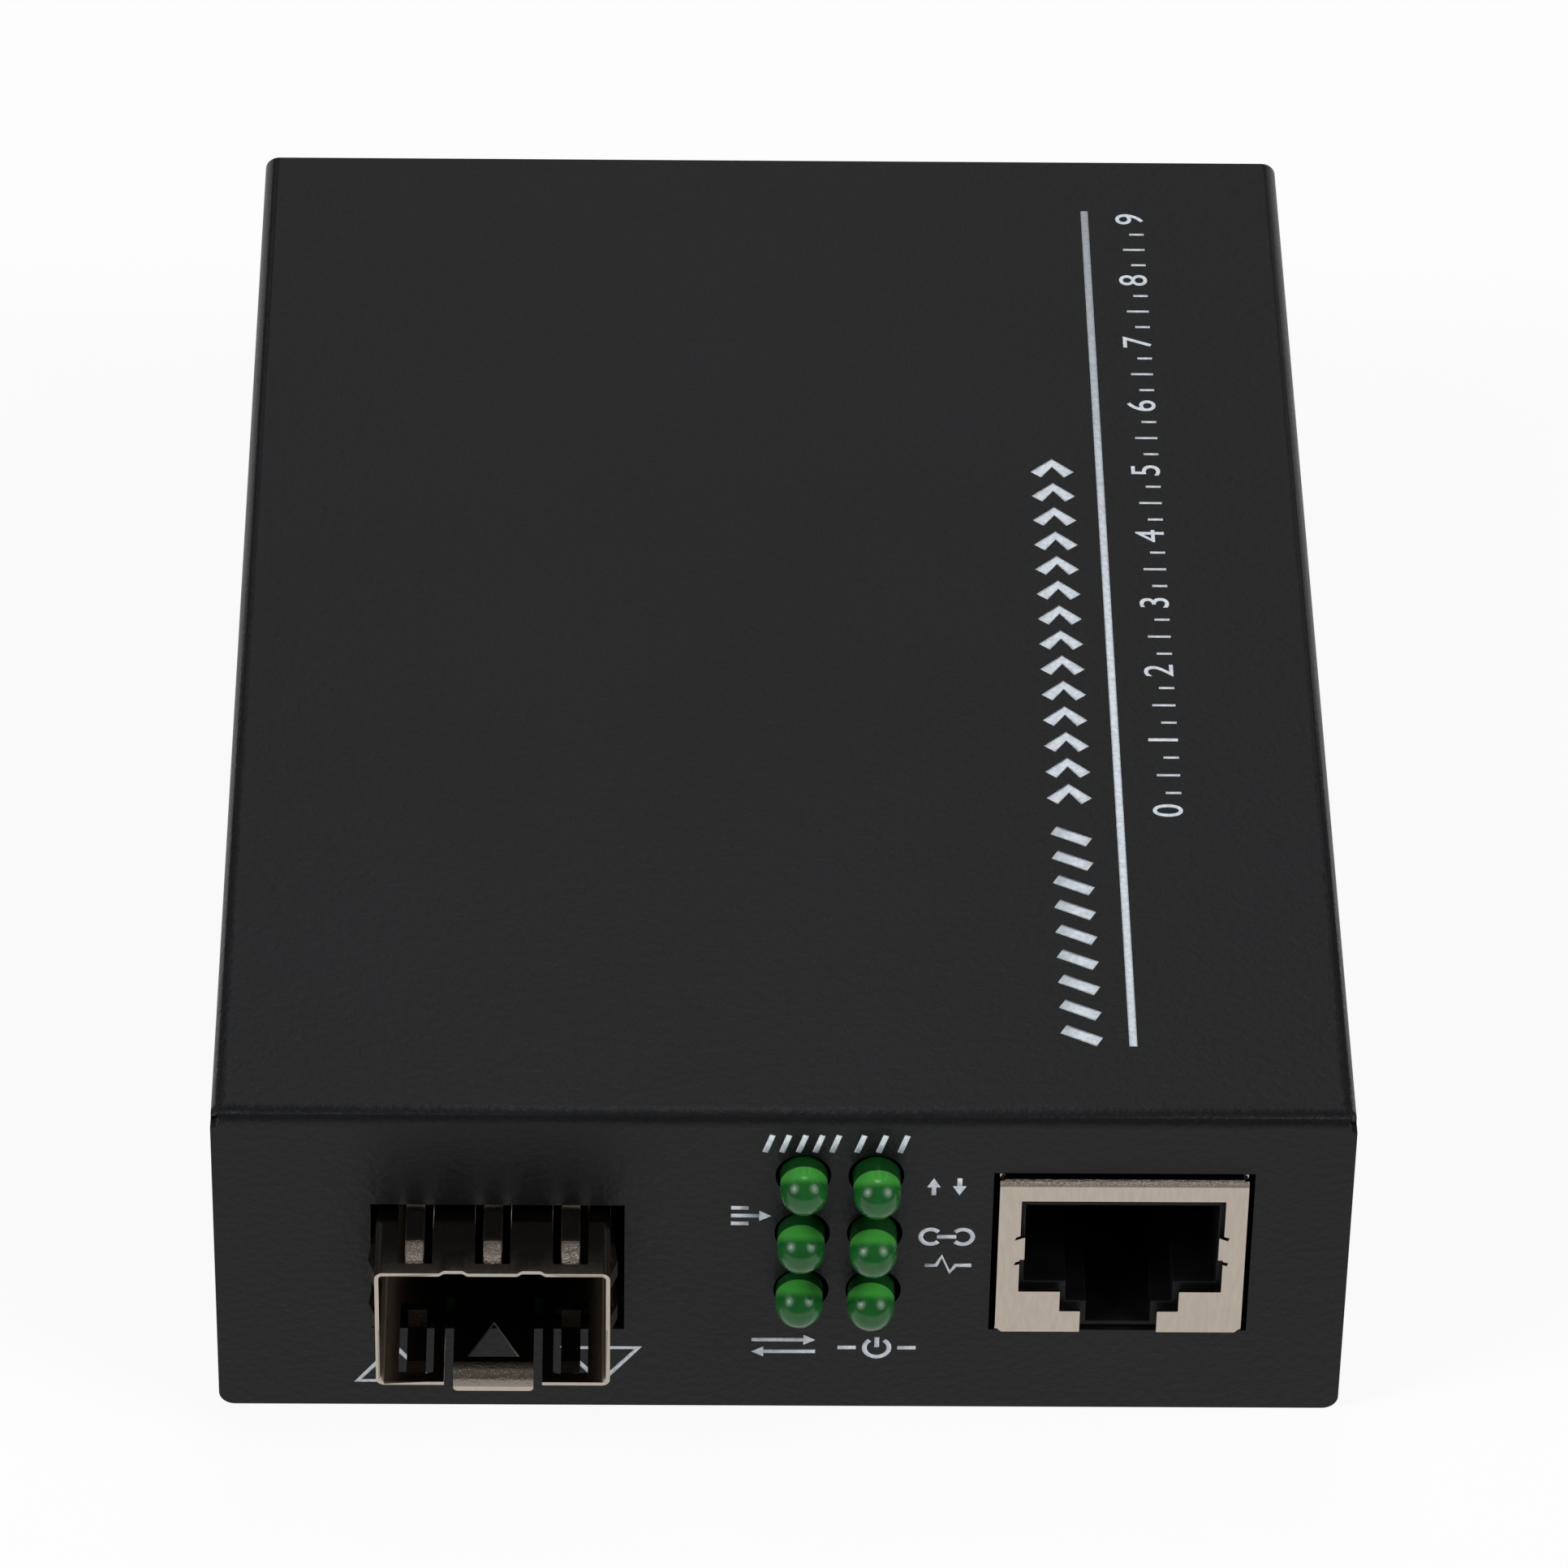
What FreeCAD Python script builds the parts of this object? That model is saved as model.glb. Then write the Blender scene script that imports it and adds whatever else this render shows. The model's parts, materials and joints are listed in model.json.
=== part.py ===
import FreeCAD, Part
import os
import re

import Sketcher
from FreeCAD import Placement, Rotation, Vector

# Fibre media converter: a folded steel case with a pluggable fibre port, a copper network
# port and six status lights in its front panel, and a power inlet in its rear panel.
# Millimetres, +Z up. The origin is the middle of the footprint, on the surface the case
# stands on. The front panel faces -Y.

# The driving dimensions: one plain number each, kept in the sheet called "sizes".
SIZES = {
    # folded case
    "case_width": 70.5,
    "case_depth": 100,
    "case_height": 24.5,
    "sheet_gauge": 0.8,
    "bend_radius": 1.0,
    "rear_corner": 1.2,
    "panel_corner": 1.0,
    "relief_radius": 0.5,
    "relief_inset": 0.05,
    "relief_drop": 0.72,
    "relief_depth": 1.1,
    "seam_gap": 0.15,
    "fit_gap": 0.15,
    "flange_height": 8,
    "overcut": 1,
    # flush screws that hold the cover to the base
    "side_screw_inset": 42,
    "side_screw_rise": 3.2,
    "side_screw_bore": 3.6,
    "side_screw_sink": 0.75,
    "side_screw_thread": 2.9,
    "side_screw_length": 4,
    "thread_gap": 0.05,
    # circuit board, its standoffs and screws
    "board_gauge": 1.6,
    "board_setback": 1.9,
    "board_side_gap": 1,
    "board_rear_gap": 2.4,
    "standoff_height": 4.5,
    "standoff_width": 5,
    "board_screw_inset": 3.2,
    "board_screw_front": 23.3,
    "board_screw_rear": 4.8,
    "board_screw_thread": 2.6,
    "board_screw_head": 4.6,
    "board_screw_cap": 1.4,
    "board_screw_length": 5,
    # cage of the pluggable fibre port
    "cage_inset": 17.35,
    "cage_width": 14.5,
    "cage_height": 9.4,
    "cage_length": 48.8,
    "cage_reach": 5.5,
    "cage_gauge": 0.25,
    "cage_corner": 0.5,
    "cage_hole_shift": 0.24,
    "cage_hole_side": 0.625,
    "cage_hole_top": 0.7,
    "cage_hole_drop": 0.35,
    # spring fingers round the mouth of the cage
    "finger_pitch": 4.8,
    "finger_width": 1.2,
    "finger_slot": 0.48,
    "finger_land": 0.9,
    "finger_run": 6.2,
    "finger_ramp": 1.3,
    "finger_flat": 3.1,
    "finger_return": 1.2,
    "finger_rise": 0.5,
    "finger_dip": 0.05,
    "floor_finger_drop": 0.28,
    "side_finger_rise": 0.45,
    "side_finger_end": 0.1,
    "side_finger_low": 4.25,
    "side_finger_high": 7.85,
    # latch flap in the floor of the cage
    "flap_half": 2.77,
    "flap_slit": 0.55,
    "flap_slit_run": 7.9,
    "flap_setback": 1.75,
    "lip_roll": 1,
    "lip_drop": 1.2,
    "catch_width": 3.25,
    "catch_length": 3.2,
    "catch_setback": 2.3,
    # stiffening embosses in the roof of the cage mouth
    "emboss_x": 2.4,
    "emboss_width": 1.9,
    "emboss_slope": 0.38,
    "emboss_rise": 0.22,
    "emboss_run": 1.8,
    # card-edge connector inside the cage
    "edge_width": 11.6,
    "edge_height": 5.6,
    "edge_depth": 9,
    "edge_inset": 2,
    "edge_slot_width": 9.2,
    "edge_slot_height": 1.4,
    "edge_slot_depth": 6,
    "edge_pitch": 0.8,
    "edge_pin_width": 0.35,
    "edge_pin_height": 0.3,
    "edge_opening": 0.4,
    # copper network port: metal shield
    "jack_inset": 14.17,
    "jack_width": 15.4,
    "jack_height": 12.55,
    "jack_depth": 21,
    "jack_reach": 0.45,
    "jack_gauge": 0.25,
    "jack_bend": 0.4,
    "jack_hole_side": 0.375,
    "jack_hole_top": 0.4,
    "jack_hole_drop": 0.25,
    "jack_foot_cut": 0.4,
    "jack_relief": 0.3,
    "jack_relief_depth": 0.6,
    "window_half": 6.32,
    "window_top": 11,
    "window_step_one": 3.41,
    "window_step_two": 1.75,
    "shoulder_half": 3.71,
    "latch_half": 2.4,
    "tab_high": 7.95,
    "tab_low": 6.1,
    "tab_inward": 0.3,
    "tab_notch": 0.25,
    "tab_notch_depth": 0.3,
    # copper network port: moulded housing
    "housing_gap": 0.05,
    "housing_setback": 0.4,
    "cavity_half": 6,
    "cavity_top": 10.1,
    "cavity_step_one": 3.72,
    "cavity_step_two": 2.05,
    "cavity_foot": 0.35,
    "cavity_shoulder": 3.33,
    "cavity_latch": 2.02,
    "cavity_depth": 14,
    "spring_pitch": 1.02,
    "spring_width": 0.4,
    "spring_gauge": 0.3,
    "spring_front": 2,
    "spring_run": 8.5,
    "spring_drop": 2.6,
    # status lights
    "light_inset": 19.85,
    "light_drop": 0.52,
    "light_column_pitch": 4.5,
    "light_row_pitch": 4.78,
    "lens_width": 2.95,
    "light_gap": 0.25,
    "lens_reach": 1.4,
    "lead_width": 0.5,
    "lead_spacing": 1.27,
    "lead_step": 1.6,
    "lead_clear": 1,
    "holder_setback": 2.25,
    "holder_margin": 2.2,
    "holder_depth": 4.6,
    "holder_gap": 0.15,
    "lead_gap": 0.1,
    # power inlet
    "inlet_inset": 15.25,
    "inlet_width": 9,
    "inlet_height": 11,
    "inlet_depth": 13,
    "inlet_axis": 6.5,
    "inlet_nose": 8,
    "inlet_nose_reach": 0.1,
    "inlet_hole_gap": 0.3,
    "inlet_bore": 6.2,
    "inlet_bore_depth": 10,
    "inlet_pin": 2.1,
    "inlet_pin_short": 1,
    # parts on the circuit board
    "magnetics_gap": 8.75,
    "magnetics_width": 14,
    "magnetics_depth": 9.4,
    "magnetics_height": 5.8,
    "magnetics_pin_pitch": 1.6,
    "chip_x": 6,
    "chip_y": 12,
    "chip_side": 14,
    "chip_height": 1.4,
    "chip_pitch": 1.1,
    "pin_width": 0.4,
    "pin_reach": 1.1,
    "pin_gauge": 0.2,
    "crystal_x": 6,
    "crystal_y": -5,
    "crystal_length": 11,
    "crystal_width": 4.6,
    "crystal_height": 3.5,
    "coil_inset": 15.25,
    "coil_setback": 19.2,
    "coil_side": 8,
    "coil_height": 4,
    "coil_corner": 1.5,
    "can_x": -6,
    "can_setback": 13.2,
    "can_pitch": 9,
    "can_width": 6.3,
    "can_height": 7.7,
    "can_foot": 6.8,
    "can_foot_height": 0.9,
    "regulator_inset": 17.25,
    "regulator_setback": 37.2,
    "regulator_width": 6.5,
    "regulator_depth": 3.5,
    "regulator_height": 1.6,
    "regulator_tab": 1.5,
    "regulator_tab_width": 3,
}

# Places worked out from the sizes, kept in the sheet called "places".
PLACES = {
    "case_left": "-case_width / 2",
    "case_right": "case_width / 2",
    "case_front": "-case_depth / 2",
    "case_back": "case_depth / 2",
    "panel_inside": "case_front + sheet_gauge",
    "rear_inside": "case_back - sheet_gauge",
    "roof_under": "case_height - sheet_gauge",
    "relief_z": "case_height - relief_drop",
    "base_right": "case_right - sheet_gauge - fit_gap",
    "base_left": "-base_right",
    "base_front": "panel_inside + fit_gap",
    "base_top": "roof_under - fit_gap",
    "flange_inside": "base_right - sheet_gauge",
    "side_screw_y": "case_back - side_screw_inset",
    "board_underside": "sheet_gauge + standoff_height",
    "board_top": "board_underside + board_gauge",
    "board_front": "panel_inside + board_setback",
    "board_back": "rear_inside - board_rear_gap",
    "board_right": "flange_inside - board_side_gap",
    "board_screw_x": "board_right - board_screw_inset",
    "board_screw_y_front": "board_front + board_screw_front",
    "board_screw_y_rear": "board_back - board_screw_rear",
    "cage_x": "case_left + cage_inset",
    "cage_front": "case_front - cage_reach",
    "cage_back": "cage_front + cage_length",
    "cage_left": "cage_x - cage_width / 2",
    "cage_right": "cage_x + cage_width / 2",
    "cage_top": "board_top + cage_height",
    "cage_floor": "board_top + cage_gauge",
    "cage_roof": "cage_top - cage_gauge",
    "finger_front": "cage_front + finger_land",
    "finger_back": "finger_front + finger_run",
    "opening_half": "finger_width / 2 + finger_slot",
    "lip_root": "cage_front + flap_setback",
    "catch_front": "cage_front + catch_setback",
    "edge_back": "cage_back - edge_inset",
    "edge_front": "edge_back - edge_depth",
    "edge_middle": "cage_floor + edge_height / 2",
    "jack_x": "case_right - jack_inset",
    "jack_left": "jack_x - jack_width / 2",
    "jack_right": "jack_x + jack_width / 2",
    "jack_front": "case_front - jack_reach",
    "jack_back": "jack_front + jack_depth",
    "jack_top": "board_top + jack_height",
    "housing_front": "jack_front + jack_gauge + housing_setback",
    "light_x": "jack_x - light_inset",
    "light_x_right": "light_x + light_column_pitch",
    "light_z_middle": "(board_top + roof_under) / 2 - light_drop",
    "light_z": "light_z_middle - light_row_pitch",
    "light_z_top": "light_z_middle + light_row_pitch",
    "holder_front": "panel_inside + holder_setback",
    "holder_back": "holder_front + holder_depth",
    "lens_root": "holder_front - holder_gap",
    "lens_tip_centre": "case_front - lens_reach",
    "inlet_x": "case_right - inlet_inset",
    "inlet_front": "rear_inside - fit_gap",
    "inlet_z": "board_top + inlet_axis",
    "inlet_mouth": "case_back + inlet_nose_reach",
    "inlet_floor": "inlet_mouth - inlet_bore_depth",
    "magnetics_y": "jack_back + magnetics_gap + magnetics_depth / 2",
    "coil_x": "case_left + coil_inset",
    "coil_y": "rear_inside - coil_setback",
    "can_y": "rear_inside - can_setback",
    "regulator_x": "case_left + regulator_inset",
    "regulator_y": "rear_inside - regulator_setback",
}

PLANES = {"X": "YZ_Plane", "Y": "XZ_Plane", "Z": "XY_Plane"}
NORMAL = {"X": 1, "Y": -1, "Z": 1}
SIDES = (-1, 1)
MATCH = 1e-4
FORMULA_WORDS = ("sqrt", "cos", "sin", "deg")

doc = FreeCAD.newDocument("media_converter")


# ---- sheets and expressions ---------------------------------------------------------------

def named(text):
    """Expression text with each alias led by the name of its sheet."""
    def lead(match):
        word = match.group(0)
        if word in SIZES:
            return "sizes." + word
        if word in PLACES:
            return "places." + word
        if word in FORMULA_WORDS:
            return word
        raise ValueError("no such size: " + word)
    return re.sub(r"[A-Za-z_]\w*", lead, str(text))


def fill_sheet(name, entries):
    sheet = doc.addObject("Spreadsheet::Sheet", name)
    for row, (alias, content) in enumerate(entries.items(), start=1):
        sheet.set(f"A{row}", alias)
        sheet.set(f"B{row}", content)
        sheet.setAlias(f"B{row}", alias)
    doc.recompute()
    return sheet


sizes = fill_sheet("sizes", {alias: str(number) for alias, number in SIZES.items()})
places = fill_sheet("places", {alias: "=" + named(text) for alias, text in PLACES.items()})


def number(alias):
    """Today's value of one size or place."""
    return float(sizes.get(alias) if alias in SIZES else places.get(alias))


def bind(thing, setting, text):
    thing.setExpression(setting, named(text))


# ---- sketches, pads and pockets ------------------------------------------------------------

def new_body(label):
    body = doc.addObject("PartDesign::Body", label)
    body.Label = label
    return body


def rectangle(left, low, right, high):
    return [(left, low), (right, low), (right, high), (left, high)]


def fix_point(sketch, geometry, vertex, across, up):
    for kind, text in (("DistanceX", across), ("DistanceY", up)):
        index = sketch.addConstraint(Sketcher.Constraint(kind, -1, 1, geometry, vertex, 1.0))
        bind(sketch, f"Constraints[{index}]", text)


def draw_outline(sketch, points):
    """Closed outline of straight lines; every corner is placed by two expressions."""
    start = sketch.GeometryCount
    turn = 360 / len(points)
    rim = [Rotation(Vector(0, 0, 1), turn * step).multVec(Vector(1, 0, 0))
           for step in range(len(points) + 1)]
    for first, second in zip(rim, rim[1:]):
        sketch.addGeometry(Part.LineSegment(first, second))
    for step, (across, up) in enumerate(points):
        following = start + (step + 1) % len(points)
        sketch.addConstraint(Sketcher.Constraint("Coincident", start + step, 2, following, 1))
        fix_point(sketch, start + step, 1, across, up)


def draw_circle(sketch, across, up, diameter):
    circle = sketch.addGeometry(Part.Circle(Vector(1, 1, 0), Vector(0, 0, 1), 1))
    fix_point(sketch, circle, 3, across, up)
    index = sketch.addConstraint(Sketcher.Constraint("Diameter", circle, 2.0))
    bind(sketch, f"Constraints[{index}]", diameter)


def draw(body, axis, start, outlines=(), circles=()):
    """Sketch square to an axis, at the given place along it."""
    sketch = body.newObject("Sketcher::SketchObject", body.Label + "_sketch")
    plane = next(item for item in body.Origin.OriginFeatures if item.Role == PLANES[axis])
    sketch.AttachmentSupport = [(plane, "")]
    sketch.MapMode = "FlatFace"
    bind(sketch, "AttachmentOffset.Base.z", f"{NORMAL[axis]} * ({start})")
    for points in outlines:
        draw_outline(sketch, points)
    for across, up, diameter in circles:
        draw_circle(sketch, across, up, diameter)
    return sketch


def pad(body, axis, start, end, outlines=(), circles=()):
    """Adds the drawn shape from start to end along the axis."""
    feature = body.newObject("PartDesign::Pad", body.Label + "_pad")
    feature.Profile = draw(body, axis, start, outlines, circles)
    feature.Reversed = NORMAL[axis] < 0
    bind(feature, "Length", f"({end}) - ({start})")
    doc.recompute()
    return feature


def cut(body, axis, start, end, outlines=(), circles=()):
    """Removes the drawn shape from start to end along the axis."""
    before = body.Shape.Volume
    feature = body.newObject("PartDesign::Pocket", body.Label + "_pocket")
    feature.Profile = draw(body, axis, start, outlines, circles)
    feature.Reversed = NORMAL[axis] > 0
    bind(feature, "Length", f"({end}) - ({start})")
    doc.recompute()
    if body.Shape.Volume >= before:
        raise RuntimeError(feature.Name + " removes nothing")
    return feature


def edge_names(body, wanted):
    """Names of the body's edges whose bounding box passes the test."""
    return [f"Edge{index}" for index, edge in enumerate(body.Shape.Edges, start=1)
            if wanted(edge.BoundBox)]


def dress(body, kind, setting, size, wanted):
    """Rounds or bevels the edges that pass the test."""
    names = edge_names(body, wanted)
    if not names:
        raise RuntimeError(body.Label + " has no such edge to dress")
    base = body.Tip
    feature = body.newObject("PartDesign::" + kind, body.Label + "_" + kind.lower())
    feature.Base = (base, names)
    bind(feature, setting, size)
    doc.recompute()
    return feature


def fillet(body, radius, wanted):
    return dress(body, "Fillet", "Radius", radius, wanted)


def chamfer(body, size, wanted):
    return dress(body, "Chamfer", "Size", size, wanted)


def flat_at(low, high, place):
    """True where a bounding box lies in one plane at the place."""
    return abs(low - place) < MATCH and abs(high - place) < MATCH


# ---- plain solids and groups ----------------------------------------------------------------

def place_at(solid, spot):
    for letter, text in zip("xyz", spot):
        bind(solid, f"Placement.Base.{letter}", text)


def box(name, spot, size):
    """Box with its low corner at the spot."""
    solid = doc.addObject("Part::Box", name)
    for setting, text in zip(("Length", "Width", "Height"), size):
        bind(solid, setting, text)
    place_at(solid, spot)
    return solid


def rod(name, spot, diameter, height, turn=Rotation()):
    """Round bar from the spot along +Z, or along where the turn sends +Z."""
    solid = doc.addObject("Part::Cylinder", name)
    bind(solid, "Radius", f"({diameter}) / 2")
    bind(solid, "Height", height)
    solid.Placement = Placement(Vector(), turn)
    place_at(solid, spot)
    return solid


def six_sided(name, spot, width, height):
    """Six-sided bar, as wide across its flats as given, upright from the spot."""
    solid = doc.addObject("Part::Prism", name)
    solid.Polygon = 6
    bind(solid, "Circumradius", f"({width}) / sqrt(3)")
    bind(solid, "Height", height)
    place_at(solid, spot)
    return solid


def join(name, parts):
    solid = doc.addObject("Part::MultiFuse", name)
    solid.Shapes = parts
    return solid


def take(name, base, tool):
    solid = doc.addObject("Part::Cut", name)
    solid.Base = base
    solid.Tool = tool
    return solid


def group(label, parts):
    """Separate solids kept together as one sub-part."""
    together = doc.addObject("Part::Compound", label)
    together.Label = label
    together.Links = parts
    return together


TO_BACK = Rotation(Vector(1, 0, 0), -90)
TO_RIGHT = Rotation(Vector(0, 1, 0), 90)
TO_LEFT = Rotation(Vector(0, 1, 0), -90)


# ---- folded steel case ------------------------------------------------------------------------

def light_spots():
    """Column, row and centre of each status light."""
    return [(column, row, f"light_x + {column} * light_column_pitch",
             f"light_z + {row} * light_row_pitch")
            for column in range(2) for row in range(3)]


def make_cover():
    """Roof, front panel and both side walls, folded from one sheet."""
    body = new_body("cover")
    pad(body, "Z", "0", "case_height",
        [rectangle("case_left", "case_front", "case_right", "case_back")])
    back = number("case_back")
    top = number("case_height")
    fillet(body, "rear_corner", lambda edge: flat_at(edge.YMin, edge.YMax, back)
           and edge.ZLength > number("bend_radius"))
    fillet(body, "bend_radius", lambda edge: flat_at(edge.ZMin, edge.ZMax, top)
           and edge.YMax < back - MATCH + number("rear_corner") and edge.YMin < back - MATCH
           and not flat_at(edge.YMin, edge.YMax, back))
    cut(body, "Z", "-overcut", "roof_under",
        [rectangle("case_left + sheet_gauge", "panel_inside",
                   "case_right - sheet_gauge", "case_back + overcut")])
    cut_panel_openings(body)
    cut_corner_reliefs(body)
    cut_side_screw_seats(body)
    return body


def cut_panel_openings(body):
    """Front panel: port openings and the holes of the status lights."""
    hole_x = "cage_x + cage_hole_shift"
    hole_half = "(cage_width / 2 + cage_hole_side)"
    jack_half = "(jack_width / 2 + jack_hole_side)"
    cut(body, "Y", "case_front - overcut", "panel_inside + fit_gap",
        [rectangle(f"{hole_x} - {hole_half}", "board_top - cage_hole_drop",
                   f"{hole_x} + {hole_half}", "cage_top + cage_hole_top"),
         rectangle(f"jack_x - {jack_half}", "board_top - jack_hole_drop",
                   f"jack_x + {jack_half}", "jack_top + jack_hole_top")],
        [(across, up, "lens_width + 2 * light_gap")
         for column, row, across, up in light_spots()])


def cut_corner_reliefs(body):
    """Round relief where the three folds meet, and the seam behind the front panel."""
    cut(body, "Y", "case_front - overcut", "case_front + relief_depth", (),
        [(f"{side} * (case_right - relief_inset)", "relief_z", "2 * relief_radius")
         for side in SIDES])
    seam_back = "panel_inside + seam_gap"
    cut(body, "Z", "-overcut", "relief_z",
        [rectangle("case_left - overcut", "panel_inside",
                   "case_left + sheet_gauge", seam_back),
         rectangle("case_right - sheet_gauge", "panel_inside",
                   "case_right + overcut", seam_back)])
    half = number("case_right")
    inside = number("panel_inside")
    fillet(body, "panel_corner", lambda edge: flat_at(edge.ZMin, edge.ZMax, 0)
           and edge.YMax < inside + MATCH
           and (flat_at(edge.XMin, edge.XMax, half) or flat_at(edge.XMin, edge.XMax, -half)))


def cut_side_screw_seats(body):
    """A countersunk hole through each side wall."""
    cut(body, "X", "case_left - overcut", "case_right + overcut", (),
        [("side_screw_y", "side_screw_rise", "side_screw_bore")])
    half = number("case_right")
    bore = number("side_screw_bore")
    chamfer(body, "side_screw_sink", lambda edge: abs(edge.YLength - bore) < MATCH
            and (flat_at(edge.XMin, edge.XMax, half) or flat_at(edge.XMin, edge.XMax, -half)))


def make_base():
    """Floor, rear panel and two side flanges, folded from one sheet."""
    body = new_body("base")
    pad(body, "Z", "0", "base_top",
        [rectangle("base_left", "base_front", "base_right", "case_back")])
    front = number("base_front")
    fillet(body, "bend_radius", lambda edge: flat_at(edge.ZMin, edge.ZMax, 0)
           and not flat_at(edge.YMin, edge.YMax, front))
    cut(body, "Z", "sheet_gauge", "base_top + overcut",
        [rectangle("-flange_inside", "base_front - overcut", "flange_inside", "rear_inside")])
    cut(body, "X", "base_left - overcut", "base_right + overcut",
        [rectangle("base_front - overcut", "flange_height",
                   "rear_inside", "base_top + overcut")])
    cut(body, "Z", "bend_radius", "flange_height + overcut",
        [rectangle("base_left - overcut", "rear_inside - bend_radius",
                   "-flange_inside", "rear_inside"),
         rectangle("flange_inside", "rear_inside - bend_radius",
                   "base_right + overcut", "rear_inside")])
    cut(body, "Y", "rear_inside - fit_gap", "case_back + overcut", (),
        [("inlet_x", "inlet_z", "inlet_nose + 2 * inlet_hole_gap")])
    cut(body, "X", "base_left - overcut", "base_right + overcut", (),
        [("side_screw_y", "side_screw_rise", "side_screw_thread + 2 * thread_gap")])
    return body


def make_case_screws():
    """Two flush screws; each head fills its countersink in the side wall."""
    screws = []
    for end, side, turn in (("right", 1, TO_LEFT), ("left", -1, TO_RIGHT)):
        name = "case_screw_" + end
        spot = (f"{side} * (case_right - thread_gap)", "side_screw_y", "side_screw_rise")
        head = doc.addObject("Part::Cone", name + "_head")
        bind(head, "Radius1", "side_screw_bore / 2 + side_screw_sink - 2 * thread_gap")
        bind(head, "Radius2", "side_screw_bore / 2 - 2 * thread_gap")
        bind(head, "Height", "side_screw_sink")
        head.Placement = Placement(Vector(), turn)
        place_at(head, spot)
        shank = rod(name + "_shank", spot, "side_screw_thread", "side_screw_length", turn)
        screws.append(join(name, [head, shank]))
    return group("case_screws", screws)


# ---- circuit board and what holds it -------------------------------------------------------------

def board_screw_spots():
    return [(f"{side} * board_screw_x", f"board_screw_y_{end}")
            for side in SIDES for end in ("front", "rear")]


def make_circuit_board():
    body = new_body("circuit_board")
    pad(body, "Z", "board_underside", "board_top",
        [rectangle("-board_right", "board_front", "board_right", "board_back")],
        [(across, along, "board_screw_thread + 4 * thread_gap")
         for across, along in board_screw_spots()])
    return body


def make_board_standoffs():
    """Four six-sided standoffs pressed into the floor, each with a threaded bore."""
    bore = "board_screw_thread + 2 * thread_gap"
    posts = []
    for step, (across, along) in enumerate(board_screw_spots(), start=1):
        spot = (across, along, "sheet_gauge")
        post = six_sided(f"standoff_post_{step}", spot, "standoff_width", "standoff_height")
        hole = rod(f"standoff_bore_{step}", spot, bore, "standoff_height")
        posts.append(take(f"standoff_{step}", post, hole))
    return group("board_standoffs", posts)


def make_board_screws():
    """Four screws with six-sided heads."""
    screws = []
    for step, (across, along) in enumerate(board_screw_spots(), start=1):
        head = six_sided(f"board_screw_head_{step}", (across, along, "board_top"),
                         "board_screw_head", "board_screw_cap")
        shank = rod(f"board_screw_shank_{step}",
                    (across, along, "board_top - board_screw_length"),
                    "board_screw_thread", "board_screw_length")
        screws.append(join(f"board_screw_{step}", [head, shank]))
    return group("board_screws", screws)


# ---- fibre port: stamped cage with spring fingers and latch flap ------------------------------------

def finger_band(rise, end_rise):
    """Side view of a spring finger: (run, offset) pairs of its outer face.

    The finger leaves the front land, ramps outward, runs back and dips inside the wall.
    """
    flat_end = "finger_ramp + finger_flat"
    return [("-finger_slot / 2", "0"), ("0", "0"), ("finger_ramp", rise),
            (flat_end, end_rise), (flat_end + " + finger_return", "-finger_dip")]


def finger_outline(rise, end_rise, wall, outward, swap=False):
    """Closed outline of a finger on the wall at the given place, facing outward (+1 or -1)."""
    path = finger_band(rise, end_rise)
    outer = [(f"finger_front + {run}", f"{wall} + {outward} * ({offset})")
             for run, offset in path]
    inner = [(along, f"{across} - {outward} * cage_gauge") for along, across in reversed(outer)]
    points = outer + inner
    return [(across, along) for along, across in points] if swap else points


def make_cage():
    """One stamped sheet: tube, spring fingers on all four walls and a latch flap."""
    body = new_body("sfp_cage")
    pad(body, "Y", "cage_front", "cage_back",
        [rectangle("cage_left", "board_top", "cage_right", "cage_top")])
    fillet(body, "cage_corner", lambda edge: edge.YLength > number("cage_height") * 2)
    cut(body, "Y", "cage_front - overcut", "cage_back - cage_gauge",
        [rectangle("cage_left + cage_gauge", "cage_floor",
                   "cage_right - cage_gauge", "cage_roof")])
    inner_left = number("cage_left") + number("cage_gauge")
    inner_right = number("cage_right") - number("cage_gauge")
    fillet(body, "cage_corner - cage_gauge",
           lambda edge: edge.YLength > number("cage_height") * 2
           and (flat_at(edge.XMin, edge.XMax, inner_left)
                or flat_at(edge.XMin, edge.XMax, inner_right)))
    cut_finger_openings(body)
    add_fingers(body)
    make_latch_flap(body)
    emboss_mouth(body)
    cut(body, "Z", "board_top - overcut", "cage_floor + thread_gap",
        [rectangle("cage_x - edge_width / 2 - edge_opening", "edge_front - edge_opening",
                   "cage_x + edge_width / 2 + edge_opening", "edge_back + edge_opening")])
    return body


def finger_columns(steps):
    return [f"(cage_x + {step} * finger_pitch)" for step in steps]


def finger_rows():
    return ["(board_top + side_finger_low)", "(board_top + side_finger_high)"]


def cut_finger_openings(body):
    """Openings that free the fingers: three in the roof, two in the floor, two a side."""
    roof = [rectangle(middle + " - opening_half", "finger_front",
                      middle + " + opening_half", "finger_back")
            for middle in finger_columns((-1, 0, 1))]
    cut(body, "Z", "cage_roof - thread_gap", "cage_top + overcut", roof)
    floor = [rectangle(middle + " - opening_half", "finger_front",
                       middle + " + opening_half", "finger_back")
             for middle in finger_columns((-1, 1))]
    cut(body, "Z", "board_top - overcut", "cage_floor + thread_gap", floor)
    side = [rectangle("finger_front", middle + " - opening_half",
                      "finger_back", middle + " + opening_half")
            for middle in finger_rows()]
    cut(body, "X", "cage_left - overcut", "cage_right + overcut", side)


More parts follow.
